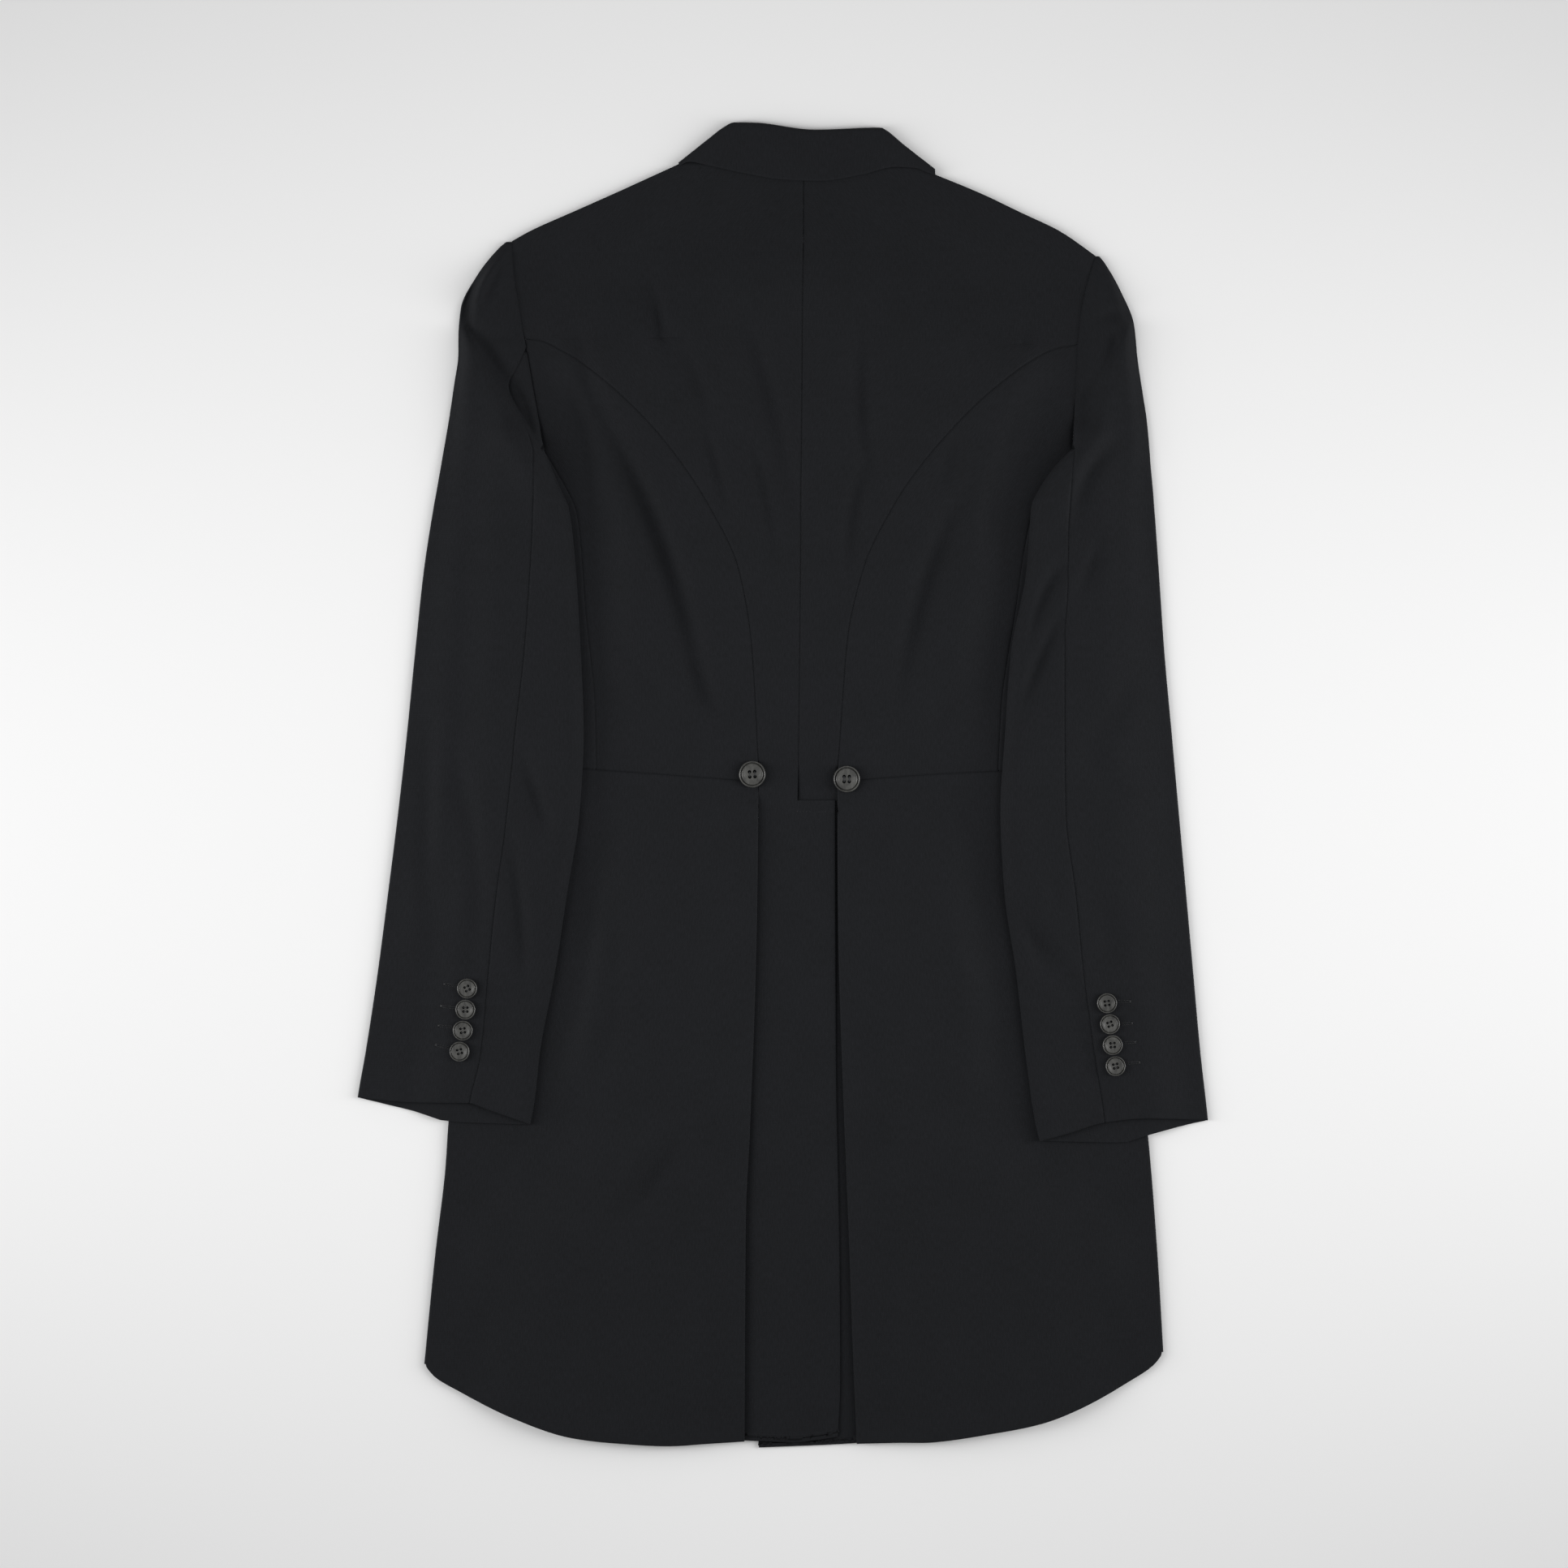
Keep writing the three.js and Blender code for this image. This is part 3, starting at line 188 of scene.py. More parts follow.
# %% Edges and seams of the sleeves and the collar
SLEEVE = {
    "left": table("y outer seam inner", [
        (250, -255.3, -187.2, -178.9), (222, -260.2, -186.7, -167),
        (207, -262.9, -187.2, -160.6), (160, -270.1, -189.6, -155.3),
        (100, -276.5, -193.9, -151.8), (40, -282.5, -200.7, -149.6),
        (-20, -289.2, -206.7, -152.6), (-80, -296.7, -214.6, -161.8),
        (-140, -304.5, -221, -171), (-200, -313.6, -226.5, -182.3),
        (-234.5, -319.6, -234.5, -186.1), (-256, -322, -239, -189.9)]),
    "right": table("y outer seam inner", [
        (250, 275.3, 218.3, 214.5), (240, 276, 217, 204.5), (222, 277.7, 215.4, 192),
        (209, 278.7, 214.5, 186), (190, 280.1, 213.5, 184.6), (160, 282.2, 213.4, 182.2),
        (100, 286.3, 210.9, 170.8), (40, 291.7, 210.9, 166.4), (-20, 297.1, 211.6, 162.8),
        (-80, 302.5, 218.9, 165.8), (-140, 307.9, 225.1, 174.5), (-200, 313.3, 233.3, 181.4),
        (-250, 318.9, 240.8, 188.4), (-268, 320.5, 242.5, 192.4)]),
}
SLEEVE_HEAD = {
    "left": table("y outer", [(407.8, -208.3), (404, -212.9), (383, -229.8), (358, -242.2),
                              (335, -244), (325, -244), (300, -247.3), (275, -251)]),
    "right": table("y outer", [(397, 237.6), (392, 241.6), (371, 253.5), (346, 263.5),
                               (320, 266.2), (290, 270.7), (275, 273)]),
}
HINDARM_HEAD = {
    "left": table("y seam", [(328, -193.2), (312, -200.5), (300, -206.1), (275, -196.1),
                             (257, -189)]),
    "right": table("y seam", [(277, 218.5), (262, 218.4)]),
}
FOREARM_SEAM = 0.3
CUFF_TOP = {
    "left": table("x y", [(-319.6, -234.5), (-277, -238), (-235.5, -238.2), (-222.7, -242.5),
                          (-189.7, -254.1)]),
    "right": table("x y", [(192.8, -266.9), (215.9, -260.2), (240.9, -252.8), (272, -249.8),
                           (319, -251.6)]),
}
CUFF_UNDER = {
    "left": table("x y", [(-319.6, -234.5), (-299.5, -239.4), (-274.5, -245.5),
                          (-251.3, -252.2), (-189.7, -254.7)]),
    "right": table("x y", [(192.8, -266.9), (255, -268.1), (272, -263), (304.4, -254.7),
                           (319, -251.6)]),
}
COLLAR_EDGE = table("x y", [(-78.5, 464.5), (-71, 467.8), (-54, 464.5), (-32, 459.6),
                            (0, 454.4), (28, 453.4), (58, 457.8), (85, 463.9), (99, 463.2),
                            (107, 460.2), (114, 457.3)])
COLLAR_CREST = table("x y", [(-78.5, 467.5), (-56.1, 485.2), (-43.9, 494.4), (-37, 497.5),
                             (-22, 497.3), (24, 492), (73.2, 493.6), (77, 491.8), (90.3, 481),
                             (114, 462.6)])
COLLAR_RISE, COLLAR_STEP, COLLAR_ROLL = 1.2, 2.4, 0.7


# %% Smooth lines through the tables
def mix(start, end, share):
    return start + (end - start) * share


def smooth(start, end, value):
    """0 before start and 1 after end, with a soft turn at both."""
    share = np.clip((value - start) / (end - start), 0, 1)
    return share * share * (3 - 2 * share)


def fall_off(start, end, value):
    return 1 - smooth(start, end, value)


def bell(away, spread):
    """1 at no distance, dying away on both sides of it."""
    return np.exp(-((away / spread) ** 2))


def line_through(rows, key, value):
    order = np.argsort(rows[key])
    at, to = rows[key][order], rows[value][order]
    rise = np.diff(to) / np.diff(at)
    product, total = rise[:-1] * rise[1:], rise[:-1] + rise[1:]
    between = np.divide(2 * product, total, out=np.zeros_like(total), where=product > 0)
    slope = np.concatenate([rise[:1], between, rise[-1:]])

    def value_at(place):
        place = np.asarray(place, float)
        i = np.clip(np.searchsorted(at, place) - 1, 0, len(at) - 2)
        width = at[i + 1] - at[i]
        t = np.clip((place - at[i]) / width, 0, 1)
        ease = t * t * (3 - 2 * t)
        inside = mix(to[i], to[i + 1], ease)
        inside += width * t * (1 - t) * (slope[i] * (1 - t) - slope[i + 1] * t)
        beyond = np.minimum(place - at[0], 0) * slope[0] + np.maximum(place - at[-1], 0) * slope[-1]
        return inside + beyond

    return value_at


def joined(first, second):
    """One table from the rows of two."""
    return {name: np.concatenate([first[name], second[name]]) for name in first}


def by_height(rows, value="x"):
    return line_through(rows, "y", value)


def by_width(rows):
    return line_through(rows, "x", "y")


def on_each_side(make, given):
    return {side: make(given[side]) for side in SIDES}


centre = by_height(CENTRE_SEAM)
shoulder, armhole, princess, side_seam, side_fold, pleat = (
    on_each_side(by_height, rows)
    for rows in (SHOULDER, ARMHOLE, PRINCESS, SIDE_SEAM, SIDE_FOLD, PLEAT))
hem, tail_hem, waist, cuff_top, cuff_under = (
    on_each_side(by_width, rows) for rows in (HEM, TAIL_HEM, WAIST, CUFF_TOP, CUFF_UNDER))
vent_edge = by_height(VENT_EDGE)
lapel_edge = by_height(LAPEL_EDGE, "reach")
roll_line = by_height(ROLL_LINE, "reach")
cutaway = by_height(CUTAWAY, "reach")
collar_edge = by_width(COLLAR_EDGE)
collar_crest = by_width(COLLAR_CREST)

# %% [markdown]
# At the head of a sleeve its seam and its inner edge both run into the armhole, so these two
# lines change over to the armhole's line there.


# %% Lines of the sleeves
def sleeve_outer(side):
    return by_height(joined(SLEEVE_HEAD[side], SLEEVE[side]), "outer")


def sleeve_seam(side):
    head = HINDARM_HEAD[side]
    line = by_height(joined(head, SLEEVE[side]), "seam")
    return lambda y: np.where(y > head["y"][0] - 1, armhole[side](y), line(y))


def sleeve_inner(side):
    line = by_height(SLEEVE[side], "inner")
    return lambda y: np.where(y > SLEEVE_JOIN_Y, armhole[side](y), line(y))


outer = {side: sleeve_outer(side) for side in SIDES}
hindarm = {side: sleeve_seam(side) for side in SIDES}
inner = {side: sleeve_inner(side) for side in SIDES}

# %% [markdown]
# ## Folds
#
# Pressed worsted lies in long soft troughs and ridges, where the shape of a body is left in the
# cloth. Each is listed: a curve from start past middle to end, how deep it is, and its
# half width. A negative depth is a ridge. Cloth simulation would give folds of its own, and these
# are the ones that this coat has.

# %% Tables of folds
FOLD_COLUMNS = "start_x start_y middle_x middle_y end_x end_y depth width"
BACK_FOLDS = [
    (-148, 302, -94, 183, -62, 70, 9.6, 8.5),
    (-72, 96, -58, 68, -45, 44, 3.4, 7.5),
    (-157, 365, -152, 325, -140, 285, 4.4, 8.5),
    (-101, 397, -97.6, 364, -86, 318, 6.6, 4.8),
    (-80, 340, -68, 307, -54, 272, 3.4, 6.4),
    (-62, 275, -52, 240, -43, 208, 3.4, 5.2),
    (-34, 354, -14.6, 300, 8, 205, 5.2, 8.5),
    (-28, 265, -16, 224, -6, 172, 3.4, 5.9),
    (60, 356, 59, 285, 65, 240, 4.5, 6.4),
    (66, 245, 54, 208, 49, 158, 4.5, 6.9),
    (138, 222, 108, 150, 87, 62, 6.8, 8.5),
    (184.6, 360, 182, 345, 180, 328, 4.1, 3.8),
    (158, 228, 157, 200, 154, 176, 3.4, 6.9),
    (178, 285, 171, 260, 168, 234, 3.5, 8.5),
    (130, 264, 125, 243, 119, 224, 2.7, 6.9),
    (206, 293, 196, 289, 186, 282, 3, 6.4),
    (142, 80, 122, 58, 112, 32, 3, 9),
    (-131, 112, -109, 87, -92, 63, 2.3, 9),
]
HOLLOWS = [
    (-192, 326, -183, 275, -168, 236, 6.6, 9.5),
    (-158, 294, -153.5, 232, -156, 172, 9, 7.1),
    (-155, 182, -148, 107, -146, -5, 5.9, 7.7),
    (217, 274, 203, 249, 178, 203, 9.7, 9.5),
    (180, 206, 173, 182, 176, 150, 4.1, 8.4),
    (177, 152, 168, 100, 162, 58, 4.7, 8.4),
    (-156, -60, -170, -150, -184, -242, 5.5, 6.5),
    (164, -70, 176, -160, 190, -250, 4.5, 6),
]
SKIRT_FOLDS = [
    (-142, -14, -145, -95, -158, -186, 5, 4.6),
    (-133, -50, -137, -110, -149, -190, -0.8, 6),
    (-127, -80, -126, -150, -141, -222, 2.8, 9.3),
    (126, -12, 145, -35, 158, -54, 5.4, 7.2),
    (72, -10, 80, -38, 80, -66, 2.8, 6.4),
    (78, -116, 88, -170, 84, -220, 2.9, 9.8),
    (168.6, -188, 168, -204, 169, -220, 2.5, 6.8),
    (-76, -258, -96, -290, -117, -320, 3.4, 7.6),
    (-90, -250, -110, -284, -142, -330, -2.2, 9.3),
    (60, -256, 76, -330, 68, -414, 3.7, 11),
    (-52, -392, -47, -418, -44, -446, 1.9, 7.6),
    (-26, -455, -11, -453.5, 6, -453, 1.4, 2.1),
]
FOLDS = {
    "body": table(FOLD_COLUMNS, BACK_FOLDS + SKIRT_FOLDS),
    "hollow": table(FOLD_COLUMNS, HOLLOWS),
    "left": table(FOLD_COLUMNS, [
        (-210, 398, -225, 374, -228.5, 356, -4.7, 3),
        (-232, 374, -237.5, 358, -233, 336, 3.6, 4.7),
        (-238, 350, -206, 299, -184, 254, 5.5, 7),
        (-214, 285, -196, 248, -176, 200, -4, 12),
        (-217, 338, -211, 337, -204, 336.5, 1.9, 2.5),
        (-250, 163, -232, 166, -213, 168, 1.7, 6.8),
        (-265, 46, -267, -30, -266, -112, 2.9, 7.6),
        (-247, 22, -230, -60, -236, -137, 2.5, 7.2),
        (-197, 22, -187, -8, -177, -34, 4.2, 6),
        (-206, -36, -199, -95, -196, -147, 4.2, 6),
    ]),
    "right": table(FOLD_COLUMNS, [
        (238, 282, 224, 244, 206, 204, -4, 12),
        (239, 304, 229, 284, 221, 262, 4.5, 6),
        (248, 256, 229, 234, 219, 198, 4.8, 6.6),
        (236, 182, 231, 162, 220, 143, 3.1, 4.6),
        (213, 167, 197, 143, 183, 102, 4.9, 5.6),
        (209, 126, 195, 96, 176, 49, 5, 5.6),
        (236, 349, 248, 353, 260, 351, 2.6, 5),
        (244, 340, 247, 332, 244, 320, 2, 5),
        (262, 82, 243, 48, 226, 24, 2.2, 10.2),
        (173, -86, 197, -128, 223, -158, 5, 6.6),
        (221, 30, 240, 8, 246, -14, 2, 10.2),
        (227, -75, 243, -105, 242, -140, 2, 10.2),
        (203, -64, 204, -80, 206, -95, 1.7, 7.2),
        (221, -173, 230, -200, 236, -232, 2, 6.1),
    ]),
}
FOLD_STEPS = 12
FOLD_REACH = 3
FOLD_END_DEPTH = 0.25


def fold_curve(row):
    """Points on a smooth curve through a fold's start, middle and end."""
    start, middle, end = (np.array([row[p + "_x"], row[p + "_y"]]) for p in ("start", "middle", "end"))
    bend = 2 * middle - (start + end) / 2
    t = np.linspace(0, 1, FOLD_STEPS + 1)[:, None]
    return (1 - t) ** 2 * start + 2 * t * (1 - t) * bend + t ** 2 * end


def relief(folds, x, y):
    """How far the soft folds lift or lower the cloth at each place."""
    height = np.zeros(x.shape)
    for i in range(len(folds["depth"])):
        row = {name: values[i] for name, values in folds.items()}
        curve = fold_curve(row)
        reach = FOLD_REACH * row["width"]
        near = ((x > curve[:, 0].min() - reach) & (x < curve[:, 0].max() + reach)
                & (y > curve[:, 1].min() - reach) & (y < curve[:, 1].max() + reach))
        if not near.any():
            continue
        px, py = x[near], y[near]
        away, along = np.full(px.shape, np.inf), np.zeros(px.shape)
        for step in range(FOLD_STEPS):
            (ax, ay), (dx, dy) = curve[step], curve[step + 1] - curve[step]
            held = np.clip(((px - ax) * dx + (py - ay) * dy) / (dx * dx + dy * dy), 0, 1)
            apart = (px - ax - held * dx) ** 2 + (py - ay - held * dy) ** 2
            closer = apart < away
            away = np.where(closer, apart, away)
            along = np.where(closer, (step + held) / FOLD_STEPS, along)
        taper = mix(FOLD_END_DEPTH, 1, np.sin(np.pi * along))
        height[near] -= row["depth"] * taper * np.exp(-away / row["width"] ** 2)
    return height


# %% [markdown]
# ## How high each layer lies
#
# These functions give the height of a layer's underside at any place, so pieces that lie on each
# other never cut through, and a seam has one height on both of its sides.

# %% Heights of the body
VALLEY_WIDTH = 11
ARMPIT_WIDTH = {"left": 11, "right": 13}
ARMPIT_Y, ARMPIT_SPREAD = 256, 38
BODY_RISE, LOWER_SKIRT_RISE, SLEEVE_SIDE_RISE = 46, 90, 34
CUFF_FADE, ARMHOLE_FADE = (CUFF_Y, -200), (268, 318)
LOWER_SKIRT_FADE, OUTLINE_FADE = (-260, -150), (-360, -240)
COLLAR_FOOT_Y = {"left": 463, "right": 459}
COLLAR_SLOPE, COLLAR_FADE = 0.46, 85
WAIST_BUTTON_AT = {"left": (-23.2, 8.2), "right": (47.6, 4.6)}
WAIST_PRESS_Y, WAIST_PRESS_SPREAD, BUTTON_PRESS_SPREAD = 6, 62, 24
TAILS_FROM, TAILS_TO = 60, 92
TAILS_APART_Y, TAILS_LOW_Y = -60, -150
HOLLOW_PAST_SEAM, HOLLOW_FADE = 3, 4
FRONT_EDGE_FROM, FRONT_EDGE_TO = 28, 3


def body_openness(side, x, y):
    """How far the back may rise: none at the outline, under the collar and under the sleeves."""
    edge = np.where(y > UNDERARM_Y, armhole[side](y), inner[side](np.maximum(y, CUFF_Y)))
    by_sleeve = smooth(*CUFF_FADE, y) * fall_off(*ARMHOLE_FADE, y)
    valley = VALLEY_WIDTH * by_sleeve + ARMPIT_WIDTH[side] * bell(y - ARMPIT_Y, ARMPIT_SPREAD)
    rise = mix(BODY_RISE, LOWER_SKIRT_RISE, fall_off(*LOWER_SKIRT_FADE, y))
    rise = mix(rise, SLEEVE_SIDE_RISE, by_sleeve)
    limit = mix(edge, side_fold[side](y), fall_off(*OUTLINE_FADE, y))
    down = COLLAR_FOOT_Y[side] - COLLAR_SLOPE * np.abs(x - centre(y)) - y
    return smooth(valley, valley + rise, (limit - x) * OUT[side]) * smooth(0, COLLAR_FADE, down)


def beside_sleeve(side, x, y):
    """1 on the body and 0 from the sleeve's edge outwards, so a hollow stops under the sleeve."""
    above = armhole[side](y) + OUT[side] * HOLLOW_PAST_SEAM
    edge = np.where(y > UNDERARM_Y, above, inner[side](np.maximum(y, CUFF_Y)))
    return smooth(-HOLLOW_FADE, HOLLOW_FADE, (edge - x) * OUT[side])


def back_bed(x, y):
    """The back layer's underside where it lies still: on the fronts, or else on the floor."""
    away = np.abs(x - centre(np.maximum(y, TAILS_APART_Y)))
    start = np.maximum(cutaway(y) - FRONT_EDGE_FROM, TAILS_FROM)
    end = np.maximum(cutaway(y) - FRONT_EDGE_TO, TAILS_TO)
    on_fronts = np.maximum(smooth(start, end, away), smooth(TAILS_LOW_Y, TAILS_APART_Y, y))
    return mix(TAIL_REST, BACK_BED, on_fronts)


def back_underside(x, y):
    left = x < centre(y)
    openness = np.where(left, body_openness("left", x, y), body_openness("right", x, y))
    beside = np.where(left, beside_sleeve("left", x, y), beside_sleeve("right", x, y))
    loft = mix(BODY_LOFT, PRESSED_LOFT["waist"], bell(y - WAIST_PRESS_Y, WAIST_PRESS_SPREAD))
    for button_x, button_y in WAIST_BUTTON_AT.values():
        sewn_down = bell(np.hypot(x - button_x, y - button_y), BUTTON_PRESS_SPREAD)
        loft = mix(loft, PRESSED_LOFT["button"], sewn_down)
    raised = openness * (loft + relief(FOLDS["body"], x, y)) + beside * relief(FOLDS["hollow"], x, y)
    above_tails = smooth(TAILS_FROM, TAILS_TO, np.abs(x - centre(y)) + y)
    return back_bed(x, y) + np.maximum(LOWEST_DIP * above_tails, raised)


TAIL_CLIMB_X, TAIL_CLIMB_Y, TAIL_FLAT = (-34, -20), (-9, 22), (-12, 30)
STACK_FROM, STACK_TO = PLEAT_DEPTH + 3, PLEAT_DEPTH + 32


def tail_lift(x, y):
    """The left tail climbs over the right one's underlap."""
    return LAYER * smooth(*TAIL_CLIMB_X, x) * fall_off(*TAIL_CLIMB_Y, y)


def tail_underside(side, x, y):
    bed = mix(back_bed(x, y), back_underside(x, y), smooth(*TAIL_FLAT, y))
    return bed + tail_lift(x, y) if side == "left" else bed


def skirt_underside(side, x, y):
    """The skirts climb over the pleat's hidden layers."""
    inside = (x - pleat[side](y)) * OUT[side]
    stack = fall_off(STACK_FROM, STACK_TO, inside) * fall_off(PLEAT_TOP_Y, 0, y)
    lift = tail_lift(pleat["left"](y) + 2, y) if side == "left" else 0
    return mix(back_underside(x, y), back_bed(x, y) + 2 * LAYER + lift, stack)


# %% Heights of the sleeves
SLEEVE_SLOPE_TOP, SLEEVE_SLOPE_FOOT = 3, 34
HEAD_FADE, CUFF_PRESS = (UNDERARM_Y - 22, UNDERARM_Y + 26), (-145, -90)
BED_FADE = (UNDERARM_Y + 6, UNDERARM_Y + 30)
TOP_PRESS_BELOW, TOP_PRESS_ABOVE = 48, 6
ARM_EDGE = 0.92
PUFF = {"rise": 0.25, "head edge": 0.6}
CREASES = {"rise": 0.08, "head edge": 0.8}
LIP_WIDTH, LIP_RISE = 4, 0.15
LIP_HEIGHT = {"left": 4.5, "right": 2.6}
LIP_REACH = {"left": 45, "right": 22}
LIP_FADE = {"left": (205, 262), "right": (225, 262)}
LIP = {"left": ((-244, 349), (-188.5, 258.9)), "right": ((214, 256), (241.5, 309))}


def sleeve_bed(side, x, y):
    """The sleeves lie on the body, and slope down to the floor beyond its side fold."""
    beyond = (x - side_fold[side](np.minimum(y, UNDERARM_Y))) * OUT[side]
    over_body = fall_off(SLEEVE_SLOPE_TOP, SLEEVE_SLOPE_FOOT, beyond)
    return SLEEVE_BED * over_body * fall_off(*BED_FADE, y)


def beyond_lip(side, x, y):
    """How far a place lies on the lower side of the sleeve's slanting fold at its head."""
    (ax, ay), (bx, by) = LIP[side]
    return ((by - ay) * (x - ax) - (bx - ax) * (y - ay)) / math.hypot(bx - ax, by - ay)


def between_edges(part, across, head):
    """1 inside the sleeve's width, and 0 at its outer fold and its inner edge."""
    fall = mix(fall_off(ARM_EDGE, 1, across), fall_off(part["head edge"], 1, across), head)
    return smooth(0, part["rise"], across) * fall


def sleeve_top(side, x, y):
    width = inner[side](y) - outer[side](y)
    across = np.clip((x - outer[side](y)) / width, 0, 1)
    head = smooth(*HEAD_FADE, y)
    top = SLEEVE_HEAD[side]["y"][0]
    loft = mix(PRESSED_LOFT["cuff"], SLEEVE_LOFT, smooth(*CUFF_PRESS, y))
    loft = loft * fall_off(top - TOP_PRESS_BELOW, top + TOP_PRESS_ABOVE, y)
    folds = relief(FOLDS[side], x, y)
    raised = between_edges(PUFF, across, head) * loft + between_edges(CREASES, across, head) * folds
    beyond = beyond_lip(side, x, y)
    near = bell(beyond, LIP_REACH[side]) * smooth(*LIP_FADE[side], y)
    lip = LIP_HEIGHT[side] * near * smooth(-LIP_WIDTH, 0, beyond) * smooth(0, LIP_RISE, across)
    return PAIR + sleeve_bed(side, x, y) + np.maximum(LOWEST_DIP, raised) + lip


# %% [markdown]
# ## Seams
#
# A pressed seam is a fine ditch: both cloths turn down into it. The ditch is cut into the height
# of whatever lies there, so the two panels meet at its bottom, with no slit between them.

# %% Ditches along the seams
SEAM_DEPTH = 0.75
SEAM_WIDTH = 0.8
SIDE_DITCH = 0.5
ARMHOLE_DITCH = 1.3


def ditch(away):
    return SEAM_DEPTH * bell(away, SEAM_WIDTH)


def away_from(line, x, y):
    """The distance from a line that gives x by height, measured square to it."""
    step = 0.5
    slope = (line(y + step) - line(y - step)) / (2 * step)
    return np.abs(x - line(y)) / np.hypot(1, slope)


def away_below(line, x, y):
    """The same for a line that gives y by width."""
    return np.abs(y - line(x))


def armhole_ditch(side, x, y):
    """The armhole seam is pulled in deeper, and wider, by the weight of the sleeve head."""
    away = away_from(armhole[side], x, y) / 2
    return np.where(y > UNDERARM_Y, ARMHOLE_DITCH * ditch(away), 0)


def seam_ditch(side, x, y):
    """The deepest of the seams that run past a place on the body."""
    above_waist = y > waist[side](x) - 3
    depth = np.where(y > VENT_TOP_Y, ditch(away_from(centre, x, y)), 0)
    depth = np.maximum(depth, np.where(above_waist, ditch(away_from(princess[side], x, y)), 0))
    lower = (y < UNDERARM_Y) & above_waist
    depth = np.maximum(depth, np.where(lower, SIDE_DITCH * ditch(away_from(side_seam[side], x, y)), 0))
    outside = (x - princess[side](np.maximum(y, PLEAT_SEAM_Y))) * OUT[side] > -1
    depth = np.maximum(depth, np.where(outside, ditch(away_below(waist[side], x, y)), 0))
    return np.maximum(depth, armhole_ditch(side, x, y))


# %% [markdown]
# ## From a net of places to a sheet of cloth
#
# Every cloth piece is one grid, made by Blender's grid operator and bent to its place. Faces that
# aren't cloth are deleted, and a Solidify modifier gives the sheet its thickness, inwards from
# the side that is seen. The grid also gives each piece its grain: a UV map whose unit is a metre,
# measured along the cloth, so that the weave runs down each piece as it was cut.

# %% Nets and sheets
FINE = np.array([0, 0.35, 0.8, 1.4, 2.2, 3.4])
ROW_STEP = 3.2
COLUMN_STEP = 3.2


def shares(length, step, fine_start=True, fine_end=True):
    """Shares from 0 to 1 along a length, closer together at an end that has a seam or an edge.

    The length is about the usual one of that stretch of cloth, in millimetres.
    """
    start = FINE if fine_start else FINE[:1]
    end = length - (FINE if fine_end else FINE[:1])[::-1]
    count = max(2, round((end[0] - start[-1]) / step))
    between = np.linspace(start[-1], end[0], count + 1)[1:-1]
    return np.concatenate([start, between, end]) / length


def heights_down(*stops, step=ROW_STEP):
    """Heights from the first stop to the last, with a row at every stop."""
    rows = [np.array(stops[:1], float)]
    for start, end in zip(stops, stops[1:]):
        count = max(1, round(abs(end - start) / step))
        rows.append(np.linspace(start, end, count + 1)[1:])
    return np.concatenate(rows)


def settle(t, start_at, end_at, x_at):
    """Places on rows that lean from one line to another: x and y are settled in turn."""
    y = mix(start_at(0.0), end_at(0.0), t) + 0 * x_at(np.zeros_like(t))
    for turn in range(7):
        x = x_at(y)
        y = mix(start_at(x), end_at(x), t)
    return x, y


def net(x, y, z):
    return np.stack(np.broadcast_arrays(x, y, z), axis=-1)


def every_cell(places):
    return np.ones((places.shape[0] - 1, places.shape[1] - 1), bool)


FOLD_ROUND = np.linspace(0, 1, 11)[1:-1]
SLEEVE_ROUND = np.linspace(0, 1, 13)[1:-1]


def fold_round(edge, facing, y, bottom, top, t):
    """The round of a fold whose edge is at x = edge, open towards the middle of the cloth."""
    radius = (top - bottom) / 2
    angle = np.pi * (0.5 - t)
    return net(edge - facing * radius * (1 - np.cos(angle)), y, bottom + radius * (1 + np.sin(angle)))


def grain_map(places, turned_down):
    """Metres along the cloth for every point of a net: across its rows, and down its columns."""
    across = np.linalg.norm(np.diff(places, axis=1), axis=2)
    across = np.concatenate([np.zeros((len(places), 1)), np.cumsum(across, axis=1)], axis=1)
    middle = across.shape[1] // 2
    down = places[..., 1]
    if turned_down:
        steps = np.linalg.norm(np.diff(places, axis=0), axis=2)
        down = np.concatenate([np.zeros((1, places.shape[1])), np.cumsum(steps, axis=0)])
    return np.stack([across - across[:, middle:middle + 1], down], axis=-1) * MM


def in_scene(name, data):
    made = bpy.data.objects.new(name, data)
    bpy.context.scene.collection.objects.link(made)
    return made


def as_object(name, work):
    """An object in the scene with the mesh of a bmesh, which is used up."""
    mesh = bpy.data.meshes.new(name)
    work.to_mesh(mesh)
    work.free()
    return in_scene(name, mesh)


cloth_pieces = []


